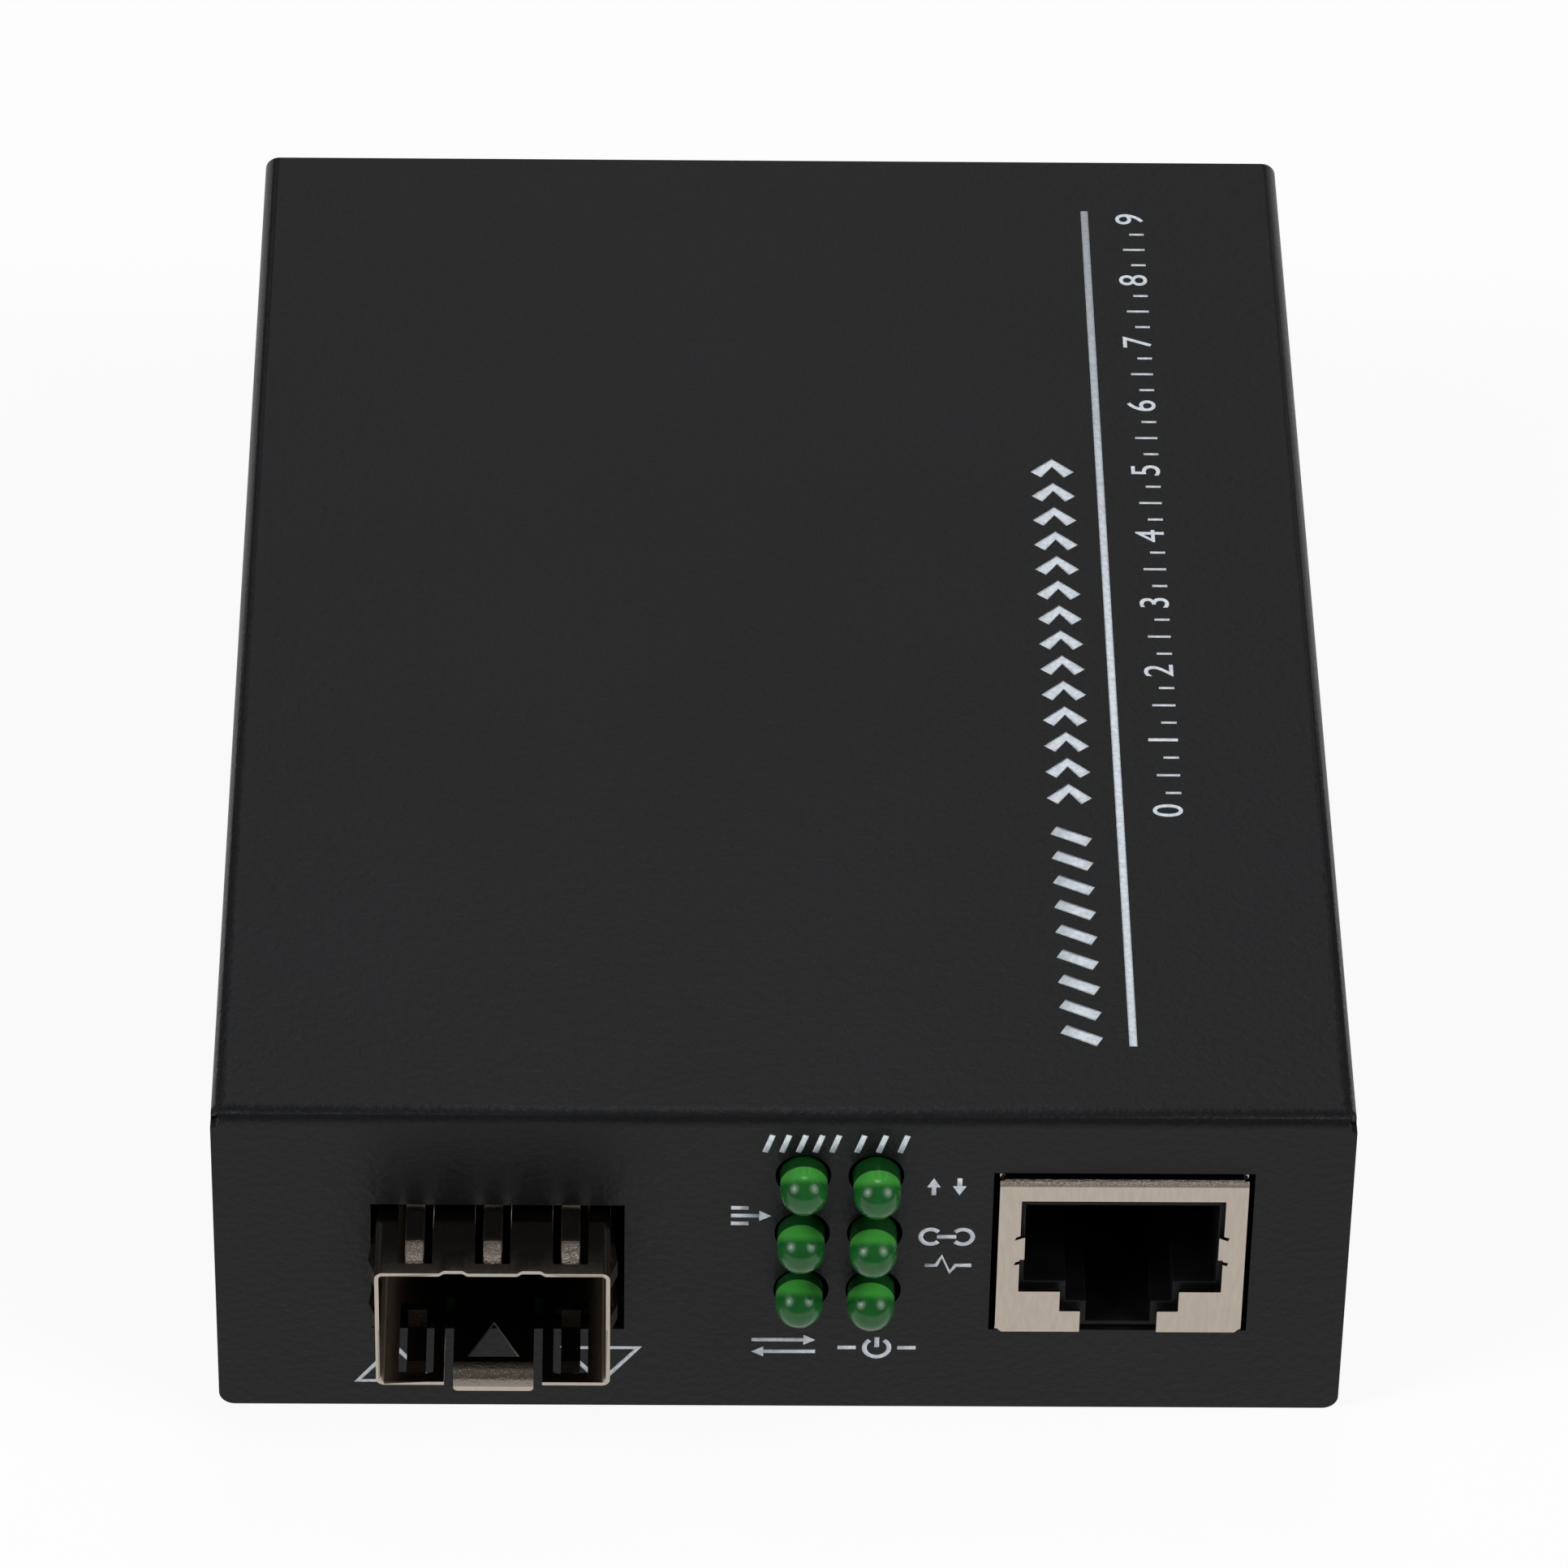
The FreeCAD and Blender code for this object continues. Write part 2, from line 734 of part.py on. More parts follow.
def add_fingers(body):
    """A bowed strip in the middle of each opening, left joined to the front land."""
    for middle in finger_columns((-1, 0, 1)):
        pad(body, "X", middle + " - finger_width / 2", middle + " + finger_width / 2",
            [finger_outline("finger_rise", "finger_rise", "cage_top", 1)])
    for middle in finger_columns((-1, 1)):
        pad(body, "X", middle + " - finger_width / 2", middle + " + finger_width / 2",
            [finger_outline("floor_finger_drop", "floor_finger_drop", "board_top", -1)])
    for middle in finger_rows():
        pad(body, "Z", middle + " - finger_width / 2", middle + " + finger_width / 2",
            [finger_outline("side_finger_rise", "side_finger_end", "cage_left", -1, swap=True),
             finger_outline("side_finger_rise", "side_finger_end", "cage_right", 1, swap=True)])


LIP_TURNS = (0, 30, 60, 90)


def roll(radius, turns):
    """Points of the rolled lip at a radius round the roll's middle, as degrees from the top."""
    return [(f"lip_root - {radius} * sin({turn} deg)",
             f"cage_floor - lip_roll + {radius} * cos({turn} deg)") for turn in turns]


def make_latch_flap(body):
    """Slits, catch hole and rolled lip of the flap that holds a plugged-in module."""
    slits = [rectangle(f"cage_x + {side} * flap_half - flap_slit / 2", "cage_front - overcut",
                       f"cage_x + {side} * flap_half + flap_slit / 2",
                       "cage_front + flap_slit_run")
             for side in SIDES]
    cut(body, "Z", "board_top - overcut", "cage_floor + thread_gap", slits)
    flap_side = "flap_half - flap_slit / 2"
    cut(body, "Z", "board_top - overcut", "cage_floor + thread_gap",
        [rectangle(f"cage_x - {flap_side.replace('-', '+')}", "cage_front - overcut",
                   f"cage_x + {flap_side}", "lip_root")])
    cut(body, "Z", "board_top - overcut", "cage_floor + thread_gap",
        [[("cage_x - catch_width / 2", "catch_front"), ("cage_x + catch_width / 2", "catch_front"),
          ("cage_x", "catch_front + catch_length")]])
    lip = [("lip_root + cage_gauge", "board_top"), ("lip_root + cage_gauge", "cage_floor"),
           *roll("lip_roll", LIP_TURNS), ("lip_root - lip_roll", "board_top - lip_drop"),
           ("lip_root - lip_roll + cage_gauge", "board_top - lip_drop"),
           *roll("(lip_roll - cage_gauge)", reversed(LIP_TURNS))]
    pad(body, "X", f"cage_x - ({flap_side})", f"cage_x + {flap_side}", [lip])


def emboss_mouth(body):
    """Two shallow raised ribs in the roof at the mouth."""
    for side in SIDES:
        middle = f"(cage_x + {side} * emboss_x)"
        wide = "emboss_width / 2"
        narrow = "(emboss_width / 2 - emboss_slope)"
        pad(body, "Y", "cage_front", "cage_front + emboss_run",
            [[(f"{middle} - {wide}", "cage_top - thread_gap"),
              (f"{middle} + {wide}", "cage_top - thread_gap"),
              (f"{middle} + {narrow}", "cage_top + emboss_rise"),
              (f"{middle} - {narrow}", "cage_top + emboss_rise")]])
        cut(body, "Y", "cage_front - overcut", "cage_front + emboss_run - cage_gauge",
            [[(f"{middle} - {wide}", "cage_roof - thread_gap"),
              (f"{middle} + {wide}", "cage_roof - thread_gap"),
              (f"{middle} + {narrow}", "cage_roof + emboss_rise"),
              (f"{middle} - {narrow}", "cage_roof + emboss_rise")]])


def make_edge_connector():
    """Moulded socket inside the cage that takes the module's card edge."""
    body = new_body("sfp_connector")
    pad(body, "Z", "board_top", "board_top + edge_height",
        [rectangle("cage_x - edge_width / 2", "edge_front",
                   "cage_x + edge_width / 2", "edge_back")])
    cut(body, "Y", "edge_front - overcut", "edge_front + edge_slot_depth",
        [rectangle("cage_x - edge_slot_width / 2", "edge_middle - edge_slot_height / 2",
                   "cage_x + edge_slot_width / 2", "edge_middle + edge_slot_height / 2")])
    return body


def make_edge_contacts():
    """Ten contact strips on the lower face of the card slot."""
    strips = []
    for step in range(10):
        across = f"cage_x + ({step} - 4.5) * edge_pitch - edge_pin_width / 2"
        strips.append(box(f"edge_contact_{step + 1}",
                          (across, "edge_front + edge_opening",
                           "edge_middle - edge_slot_height / 2"),
                          ("edge_pin_width", "edge_slot_depth - edge_opening",
                           "edge_pin_height")))
    return group("sfp_contacts", strips)


# ---- copper network port -----------------------------------------------------------------------------

def stepped_window(half, top, shoulder_at, shoulder_half, latch_at, latch_half, foot):
    """Outline of a network socket mouth with its latch side down, from the board up."""
    right = [("latch_half", "foot"), ("latch_half", "latch_at"), ("shoulder_half", "latch_at"),
             ("shoulder_half", "shoulder_at"), ("half", "shoulder_at"), ("half", "top")]
    values = {"half": half, "top": top, "shoulder_at": shoulder_at,
              "shoulder_half": shoulder_half, "latch_at": latch_at,
              "latch_half": latch_half, "foot": foot}
    points = [(values[across], values[up]) for across, up in right]
    return ([(f"jack_x + {across}", f"board_top + ({up})") for across, up in points]
            + [(f"jack_x - {across}", f"board_top + ({up})") for across, up in reversed(points)])


def make_jack_shield():
    """Folded metal shield with a stepped window and a ground spring in each side."""
    body = new_body("rj45_shield")
    pad(body, "Z", "board_top", "jack_top",
        [rectangle("jack_left", "jack_front", "jack_right", "jack_back")])
    fillet(body, "jack_bend",
           lambda edge: flat_at(edge.YMin, edge.YMax, number("jack_front"))
           and flat_at(edge.ZMin, edge.ZMax, number("jack_top")))
    cut(body, "Z", "board_top - overcut", "jack_top - jack_gauge",
        [rectangle("jack_left + jack_gauge", "jack_front + jack_gauge",
                   "jack_right - jack_gauge", "jack_back - jack_gauge")])
    cut(body, "Y", "jack_front - overcut", "jack_front + jack_gauge + housing_gap",
        [stepped_window("window_half", "window_top", "window_step_one", "shoulder_half",
                        "window_step_two", "latch_half", "-overcut")])
    cut(body, "Y", "jack_front - overcut", "jack_front + jack_gauge",
        [[(corner, "board_top"), (f"{corner} + {inward} * jack_foot_cut", "board_top"),
          (corner, "board_top + jack_foot_cut")]
         for corner, inward in (("jack_left", 1), ("jack_right", -1))])
    cut(body, "Z", "jack_top - jack_relief", "jack_top + overcut",
        [rectangle("jack_left - overcut", "jack_front + jack_gauge",
                   "jack_left + jack_relief", "jack_front + jack_gauge + jack_relief_depth"),
         rectangle("jack_right - jack_relief", "jack_front + jack_gauge",
                   "jack_right + overcut", "jack_front + jack_gauge + jack_relief_depth")])
    add_ground_springs(body)
    return body


def add_ground_springs(body):
    """Inward tab on each side of the window, freed by a slanted notch above and below."""
    for side in SIDES:
        edge = f"(jack_x + {side} * window_half)"
        high = "board_top + tab_high"
        low = "board_top + tab_low"
        pad(body, "Y", "jack_front", "jack_front + jack_gauge",
            [[(f"{edge} + {side} * jack_gauge", low), (f"{edge} - {side} * tab_inward", low),
              (f"{edge} - {side} * tab_inward", high), (f"{edge} + {side} * jack_gauge", high)]])
        cut(body, "Y", "jack_front - overcut", "jack_front + jack_gauge + housing_gap",
            [[(f"{edge} - {side} * jack_gauge", start),
              (f"{edge} + {side} * tab_notch_depth", f"{start} - {slant} * tab_notch"),
              (f"{edge} + {side} * tab_notch_depth", f"{start} + tab_notch - {slant} * tab_notch"),
              (f"{edge} - {side} * jack_gauge", f"{start} + tab_notch")]
             for start, slant in ((high, 1), (low + " - tab_notch", 1))])


def make_jack_housing():
    """Moulded body that fills the shield, with the stepped plug cavity."""
    body = new_body("rj45_housing")
    inset = "(jack_gauge + housing_gap)"
    pad(body, "Z", "board_top", f"jack_top - {inset}",
        [rectangle(f"jack_left + {inset}", "housing_front",
                   f"jack_right - {inset}", f"jack_back - {inset}")])
    cut(body, "Y", "housing_front - overcut", "housing_front + cavity_depth",
        [stepped_window("cavity_half", "cavity_top", "cavity_step_one", "cavity_shoulder",
                        "cavity_step_two", "cavity_latch", "cavity_foot")])
    return body


def make_jack_contacts():
    """Eight spring wires that slope down from the roof of the plug cavity to its back."""
    roof = "board_top + cavity_top"
    wires = []
    for step in range(8):
        body = new_body(f"jack_contact_{step + 1}")
        middle = f"jack_x + ({step} - 3.5) * spring_pitch"
        start = "housing_front + spring_front"
        bend = "housing_front + spring_front + spring_run"
        back = "housing_front + cavity_depth"
        outline = [(start, roof), (start, f"{roof} - spring_gauge"),
                   (bend, f"{roof} - spring_drop - spring_gauge"),
                   (back, f"{roof} - spring_drop - spring_gauge"),
                   (back, f"{roof} - spring_drop"), (bend, f"{roof} - spring_drop"),
                   (f"{start} + spring_gauge", roof)]
        pad(body, "X", f"{middle} - spring_width / 2", f"{middle} + spring_width / 2", [outline])
        wires.append(body)
    return group("rj45_contacts", wires)


# ---- status lights --------------------------------------------------------------------------------------

# Name, column, row from the bottom, sideways lean in degrees and extra reach of each light:
# the bent leads leave every lens a little out of line, as they do on the real part.
LIGHTS = (
    ("led_left_bottom", 0, 0, -1.9, 0.0),
    ("led_left_middle", 0, 1, -1.2, 0.2),
    ("led_left_top", 0, 2, 0.5, 0.1),
    ("led_right_bottom", 1, 0, -2.2, 0.25),
    ("led_right_middle", 1, 1, -1.4, 0.55),
    ("led_right_top", 1, 2, 0.6, 0.4),
)
DOME_STEPS = 3


def make_light(name, column, row, lean, extra):
    """Round lens turned from its profile: a straight barrel and a tip in short facets."""
    along = f"(lens_root - lens_tip_centre + {extra})"
    arc = [90 * step / DOME_STEPS for step in range(DOME_STEPS)]
    tip = [(f"lens_width / 2 * cos({turn} deg)", f"{along} + lens_width / 2 * sin({turn} deg)")
           for turn in arc]
    body = new_body(name)
    profile = draw(body, "Z", "0",
                   [[("0", "0"), ("lens_width / 2", "0"), *tip,
                     ("0", f"{along} + lens_width / 2")]])
    lens = body.newObject("PartDesign::Revolution", name + "_revolution")
    lens.Profile = profile
    lens.ReferenceAxis = (profile, ["V_Axis"])
    doc.recompute()
    body.Placement = Placement(Vector(), Rotation(Vector(0, 0, 1), 180 + lean))
    place_at(body, (f"light_x + {column} * light_column_pitch", "lens_root",
                    f"light_z + {row} * light_row_pitch"))
    return body


def lead_spots():
    """Name, place across, height and bend of each of the twelve leads."""
    return [(f"lead_{column + 1}_{row + 1}_{'a' if side < 0 else 'b'}",
             f"{across} + {side} * lead_spacing", up,
             f"holder_back + lead_clear + {row} * lead_step")
            for column, row, across, up in light_spots() for side in SIDES]


def make_light_holder():
    """Moulded block that stands on the board and lines the lights up."""
    body = new_body("led_holder")
    pad(body, "Z", "board_top", "light_z_top + holder_margin",
        [rectangle("light_x - holder_margin", "holder_front",
                   "light_x_right + holder_margin", "holder_back")])
    half = "(lead_width / 2 + lead_gap)"
    cut(body, "Y", "holder_front - overcut", "holder_back + overcut",
        [rectangle(f"{across} - {half}", f"{up} - {half}", f"{across} + {half}", f"{up} + {half}")
         for name, across, up, bend in lead_spots()])
    return body


def make_light_leads():
    """Square wires from each lens, back through the holder and down to the board."""
    leads = []
    half = "lead_width / 2"
    for name, across, up, bend in lead_spots():
        level = box(name + "_level", (f"{across} - {half}", "holder_front", f"{up} - {half}"),
                    ("lead_width", f"{bend} - holder_front", "lead_width"))
        drop = box(name + "_drop", (f"{across} - {half}", f"{bend} - lead_width", "board_top"),
                   ("lead_width", "lead_width", f"{up} + {half} - board_top"))
        leads.append(join(name, [level, drop]))
    return group("led_leads", leads)


# ---- power inlet -----------------------------------------------------------------------------------------

def make_inlet_housing():
    """Moulded barrel socket whose round nose shows in the rear panel."""
    body = new_body("dc_jack_housing")
    pad(body, "Z", "board_top", "board_top + inlet_height",
        [rectangle("inlet_x - inlet_width / 2", "inlet_front - inlet_depth",
                   "inlet_x + inlet_width / 2", "inlet_front")])
    pad(body, "Y", "inlet_front - fit_gap", "inlet_mouth", (),
        [("inlet_x", "inlet_z", "inlet_nose")])
    cut(body, "Y", "inlet_floor", "inlet_mouth + overcut", (),
        [("inlet_x", "inlet_z", "inlet_bore")])
    return body


def make_inlet_pin():
    pin = rod("dc_jack_pin", ("inlet_x", "inlet_floor", "inlet_z"), "inlet_pin",
              "inlet_bore_depth - inlet_pin_short", TO_BACK)
    pin.Label = "dc_jack_pin"
    return pin


# ---- parts on the circuit board ---------------------------------------------------------------------------

def make_magnetics():
    body = new_body("line_transformer")
    pad(body, "Z", "board_top + pin_gauge", "board_top + magnetics_height",
        [rectangle("jack_x - magnetics_width / 2", "magnetics_y - magnetics_depth / 2",
                   "jack_x + magnetics_width / 2", "magnetics_y + magnetics_depth / 2")])
    return body


def make_magnetics_pins():
    pins = []
    for side in SIDES:
        for step in range(8):
            across = f"jack_x + ({step} - 3.5) * magnetics_pin_pitch - pin_width / 2"
            along = f"magnetics_y + {side} * (magnetics_depth / 2 + pin_reach / 2) - pin_reach / 2"
            pins.append(box(f"transformer_pin_{len(pins) + 1}", (across, along, "board_top"),
                            ("pin_width", "pin_reach", "pin_gauge")))
    return group("transformer_pins", pins)


def make_chip():
    body = new_body("converter_chip")
    pad(body, "Z", "board_top + pin_gauge", "board_top + pin_gauge + chip_height",
        [rectangle("chip_x - chip_side / 2", "chip_y - chip_side / 2",
                   "chip_x + chip_side / 2", "chip_y + chip_side / 2")])
    return body


def make_chip_pins():
    """Twelve flat pins on each side of the square chip."""
    pins = []
    for side in SIDES:
        for step in range(12):
            slide = f"({step} - 5.5) * chip_pitch - pin_width / 2"
            reach = f"{side} * (chip_side / 2 + pin_reach / 2) - pin_reach / 2"
            pins.append(box(f"chip_pin_{len(pins) + 1}",
                            (f"chip_x + {slide}", f"chip_y + {reach}", "board_top"),
                            ("pin_width", "pin_reach", "pin_gauge")))
            pins.append(box(f"chip_pin_{len(pins) + 1}",
                            (f"chip_x + {reach}", f"chip_y + {slide}", "board_top"),
                            ("pin_reach", "pin_width", "pin_gauge")))
    return group("chip_pins", pins)


def make_crystal():
    """Metal can with half-round ends."""
    body = new_body("crystal")
    pad(body, "Z", "board_top", "board_top + crystal_height",
        [rectangle("crystal_x - crystal_length / 2", "crystal_y - crystal_width / 2",
                   "crystal_x + crystal_length / 2", "crystal_y + crystal_width / 2")])
    fillet(body, "crystal_width / 2 - thread_gap",
           lambda edge: edge.ZLength > number("crystal_height") - MATCH)
    return body


def make_coil():
    body = new_body("power_inductor")
    pad(body, "Z", "board_top", "board_top + coil_height",
        [rectangle("coil_x - coil_side / 2", "coil_y - coil_side / 2",
                   "coil_x + coil_side / 2", "coil_y + coil_side / 2")])
    chamfer(body, "coil_corner", lambda edge: edge.ZLength > number("coil_height") - MATCH)
    return body


def make_capacitors():
    """Two can capacitors, each on its square foot."""
    cans = []
    for step in range(2):
        across = f"can_x + {step} * can_pitch"
        foot = box(f"capacitor_foot_{step + 1}",
                   (f"{across} - can_foot / 2", "can_y - can_foot / 2", "board_top"),
                   ("can_foot", "can_foot", "can_foot_height"))
        can = rod(f"capacitor_can_{step + 1}", (across, "can_y", "board_top"),
                  "can_width", "can_height")
        cans.append(join(f"capacitor_{step + 1}", [foot, can]))
    return group("filter_capacitors", cans)


def make_regulator():
    body = new_body("voltage_regulator")
    front = "regulator_y - regulator_depth / 2"
    back = "regulator_y + regulator_depth / 2"
    pad(body, "Z", "board_top", "board_top + regulator_height",
        [rectangle("regulator_x - regulator_width / 2", front,
                   "regulator_x + regulator_width / 2", back)])
    pad(body, "Z", "board_top", "board_top + pin_gauge",
        [rectangle("regulator_x - regulator_tab_width / 2", back + " - thread_gap",
                   "regulator_x + regulator_tab_width / 2", back + " + regulator_tab")])
    return body


# ---- build, check and write -----------------------------------------------------------------------------------

subparts = [
    make_cover(), make_base(), make_case_screws(),
    make_circuit_board(), make_board_standoffs(), make_board_screws(),
    make_cage(), make_edge_connector(), make_edge_contacts(),
    make_jack_shield(), make_jack_housing(), make_jack_contacts(),
    *[make_light(*light) for light in LIGHTS], make_light_holder(), make_light_leads(),
    make_inlet_housing(), make_inlet_pin(),
    make_magnetics(), make_magnetics_pins(), make_chip(), make_chip_pins(),
    make_crystal(), make_coil(), make_capacitors(), make_regulator(),
]
doc.recompute()

for thing in doc.Objects:
    if "Invalid" in thing.State or "Error" in thing.State:
        raise RuntimeError(f"{thing.Name} failed: {thing.State}")
for subpart in subparts:
    if subpart.Shape.isNull() or not subpart.Shape.isValid():
        raise RuntimeError(subpart.Label + " has no valid shape")

os.makedirs("parts", exist_ok=True)
for subpart in subparts:
    subpart.Shape.exportStep(f"parts/{subpart.Label}.step")
    print(subpart.Label, "solids", len(subpart.Shape.Solids), "volume", round(subpart.Shape.Volume, 2))
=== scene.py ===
# %% [markdown]
# # A fibre media converter for the studio
# The object is a small folded steel box that joins a fibre line to a copper one. The CAD model
# already holds every solid at its real size. This lesson loads it, gives each piece its real
# finish, adds what is too fine for the CAD model, and sets up a plain studio with a camera.

import json
from math import cos, hypot, pi, radians, sin

import bmesh
import bpy
from mathutils import Euler, Matrix, Vector


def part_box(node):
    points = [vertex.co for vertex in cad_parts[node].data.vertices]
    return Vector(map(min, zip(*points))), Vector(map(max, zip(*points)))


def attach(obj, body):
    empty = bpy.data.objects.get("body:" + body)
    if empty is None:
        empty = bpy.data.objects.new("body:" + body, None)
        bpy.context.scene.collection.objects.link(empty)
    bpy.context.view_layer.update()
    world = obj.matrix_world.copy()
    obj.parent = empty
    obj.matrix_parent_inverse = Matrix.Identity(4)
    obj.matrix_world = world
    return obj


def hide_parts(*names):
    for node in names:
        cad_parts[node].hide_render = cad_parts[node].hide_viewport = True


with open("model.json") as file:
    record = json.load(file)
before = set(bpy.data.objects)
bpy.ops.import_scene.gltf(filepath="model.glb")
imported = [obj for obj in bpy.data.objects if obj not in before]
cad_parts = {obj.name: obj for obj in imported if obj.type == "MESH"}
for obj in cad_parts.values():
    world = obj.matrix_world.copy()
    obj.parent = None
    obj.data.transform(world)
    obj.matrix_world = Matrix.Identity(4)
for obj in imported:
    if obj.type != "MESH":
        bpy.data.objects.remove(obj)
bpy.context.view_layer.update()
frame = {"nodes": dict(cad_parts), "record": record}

# %% [markdown]
# ## Units and colours
# Blender works in metres, but a box this small is easier to think of in millimetres, so one
# name stands for a millimetre. Shaders want linear light, while colours are usually written as
# they look on a screen, from 0 to 255. A short function turns one into the other.

# %% Millimetres and screen colours
MM = 0.001


def screen_colour(red, green, blue):
    """Linear colour, with alpha, of a colour written as it looks on a screen."""
    linear = []
    for level in (red, green, blue):
        share = level / 255
        linear.append(share / 12.92 if share <= 0.04045 else ((share + 0.055) / 1.055) ** 2.4)
    return (*linear, 1.0)


print("a mid grey of 128 is", round(screen_colour(128, 128, 128)[0], 3), "in linear light")

# %% [markdown]
# ## A helper for finishes
# Nearly every finish here is the same recipe with other amounts: a colour that drifts a little,
# a roughness that drifts with it, and a fine grain that the light catches. All of it is made by
# noise on Object coordinates, so that the pattern sits still on the piece and needs no image.
# Stretching the noise along one axis turns specks into brush strokes.

# %% Nodes of a finish
def new_finish(name):
    """A fresh material with its shader, ready for more nodes."""
    material = bpy.data.materials.new(name)
    material.use_nodes = True
    return material, material.node_tree, material.node_tree.nodes["Principled BSDF"]


def noise(tree, size, stretch=(1, 1, 1), detail=3.0):
    """Noise whose specks are about the given size in metres, stretched along the axes."""
    place = tree.nodes.new("ShaderNodeTexCoord")
    turn = tree.nodes.new("ShaderNodeMapping")
    turn.inputs["Scale"].default_value = stretch
    speck = tree.nodes.new("ShaderNodeTexNoise")
    speck.inputs["Scale"].default_value = 1 / size
    speck.inputs["Detail"].default_value = detail
    tree.links.new(place.outputs["Object"], turn.inputs["Vector"])
    tree.links.new(turn.outputs["Vector"], speck.inputs["Vector"])
    return speck.outputs["Fac"]


def between(tree, factor, low, high):
    """A number that runs from low to high as the noise runs over its usual range."""
    span = tree.nodes.new("ShaderNodeMapRange")
    span.inputs["From Min"].default_value = 0.3
    span.inputs["From Max"].default_value = 0.7
    span.inputs["To Min"].default_value = low
    span.inputs["To Max"].default_value = high
    tree.links.new(factor, span.inputs["Value"])
    return span.outputs["Result"]


def feed(tree, value, socket):
    """Links the output of a node to a socket, or sets the socket to a fixed value."""
    if isinstance(value, bpy.types.NodeSocket):
        tree.links.new(value, socket)
    else:
        socket.default_value = value


def blend_colours(tree, factor, first, second):
    """The first colour where the factor is 0, the second where it is 1."""
    mix = tree.nodes.new("ShaderNodeMix")
    mix.data_type = "RGBA"
    feed(tree, first, mix.inputs["A"])
    feed(tree, second, mix.inputs["B"])
    tree.links.new(factor, mix.inputs["Factor"])
    return mix.outputs["Result"]


def scaled_sum(tree, value, share, rest):
    """The value times a fixed share, plus the rest."""
    total = tree.nodes.new("ShaderNodeMath")
    total.operation = "MULTIPLY_ADD"
    total.inputs[1].default_value = share
    tree.links.new(value, total.inputs[0])
    tree.links.new(rest, total.inputs[2])
    return total.outputs["Value"]


def raise_grain(tree, shader, height, depth, strength=1.0):
    """Lets a noise stand up from the surface by the given depth in metres."""
    grain = tree.nodes.new("ShaderNodeBump")
    grain.inputs["Distance"].default_value = depth
    grain.inputs["Strength"].default_value = strength
    tree.links.new(height, grain.inputs["Height"])
    tree.links.new(grain.outputs["Normal"], shader.inputs["Normal"])
    return grain


def make_finish(name, dark, light, patch, roughness, grain, depth, metallic=0.0,
                stretch=(1, 1, 1), specular=0.5):
    """A finish that drifts between two colours and two roughnesses, with a raised grain."""
    material, tree, shader = new_finish(name)
    shader.inputs["Metallic"].default_value = metallic
    shader.inputs["Specular IOR Level"].default_value = specular
    drift = noise(tree, patch, stretch)
    share = between(tree, drift, 0, 1)
    tree.links.new(blend_colours(tree, share, dark, light), shader.inputs["Base Color"])
    tree.links.new(between(tree, drift, *roughness), shader.inputs["Roughness"])
    raise_grain(tree, shader, noise(tree, grain, stretch), depth)
    return material


print("finish helpers ready")

# %% [markdown]
# ## Powder coat
# The case is steel with a fine-textured charcoal powder coat. Powder melts into a skin like
# orange peel, with a finer grit on top of it. Two noises of different size added together give
# both. The coat is matt and reflects little, so the specular level is kept low.

# %% The case's powder coat
powder_coat, tree, shader = new_finish("powder_coat")
peel = noise(tree, 0.55 * MM, detail=1.0)
grit = noise(tree, 0.16 * MM, detail=2.0)
GRIT_SHARE = 0.35
skin = scaled_sum(tree, grit, GRIT_SHARE, peel)
raise_grain(tree, shader, skin, 0.05 * MM)
patches = between(tree, noise(tree, 18 * MM), 0, 1)
charcoal = blend_colours(tree, patches, screen_colour(10, 11, 13), screen_colour(13, 14, 17))
tree.links.new(charcoal, shader.inputs["Base Color"])
tree.links.new(between(tree, grit, 0.36, 0.48), shader.inputs["Roughness"])
shader.inputs["Specular IOR Level"].default_value = 0.21
print("powder coat:", len(tree.nodes), "nodes")

# %% [markdown]
# ## Nickel plate
# The cage and the shield of the network socket are thin sheet with bright nickel plate, a little
# warmer than steel. Flat sheet is smooth, but where it was bent the metal was stretched and its
# plate turned coarse, like orange peel. An attribute on the faces says where that is: it makes
# the plate rougher and lets a fine grain stand up, and it paints the plate darker there as
# painted shade, for the micro-shadows of the coarse plate.

# %% Nickel plate, smooth on the flats and coarse on the bends
nickel, tree, shader = new_finish("nickel")
bent = tree.nodes.new("ShaderNodeAttribute")
bent.attribute_name = "bent"
drift = noise(tree, 0.8 * MM, (3, 3, 0.6))
shader.inputs["Metallic"].default_value = 1.0
flat_colour = blend_colours(tree, between(tree, drift, 0, 1), screen_colour(172, 161, 149),
                            screen_colour(180, 169, 157))
# Painted shade: the plate is painted darker on the bends; the roughness and grain there are real.
plate_with_painted_shade = blend_colours(tree, bent.outputs["Fac"], flat_colour, screen_colour(136, 127, 118))
tree.links.new(plate_with_painted_shade, shader.inputs["Base Color"])
ROUGHER_BY = 0.12
coarser = scaled_sum(tree, bent.outputs["Fac"], ROUGHER_BY, between(tree, drift, 0.15, 0.18))
tree.links.new(coarser, shader.inputs["Roughness"])
orange_peel = raise_grain(tree, shader, noise(tree, 0.13 * MM, detail=2.0), 0.04 * MM)
tree.links.new(bent.outputs["Fac"], orange_peel.inputs["Strength"])
print("nickel plate:", len(tree.nodes), "nodes")

# %% [markdown]
# ## Plain metals
# The other metals need no more than the common recipe. The screws are blackened steel, the leads
# are tinned and dull, the cans are drawn aluminium with its grain along the draw, and the
# contacts are gold over spring metal.

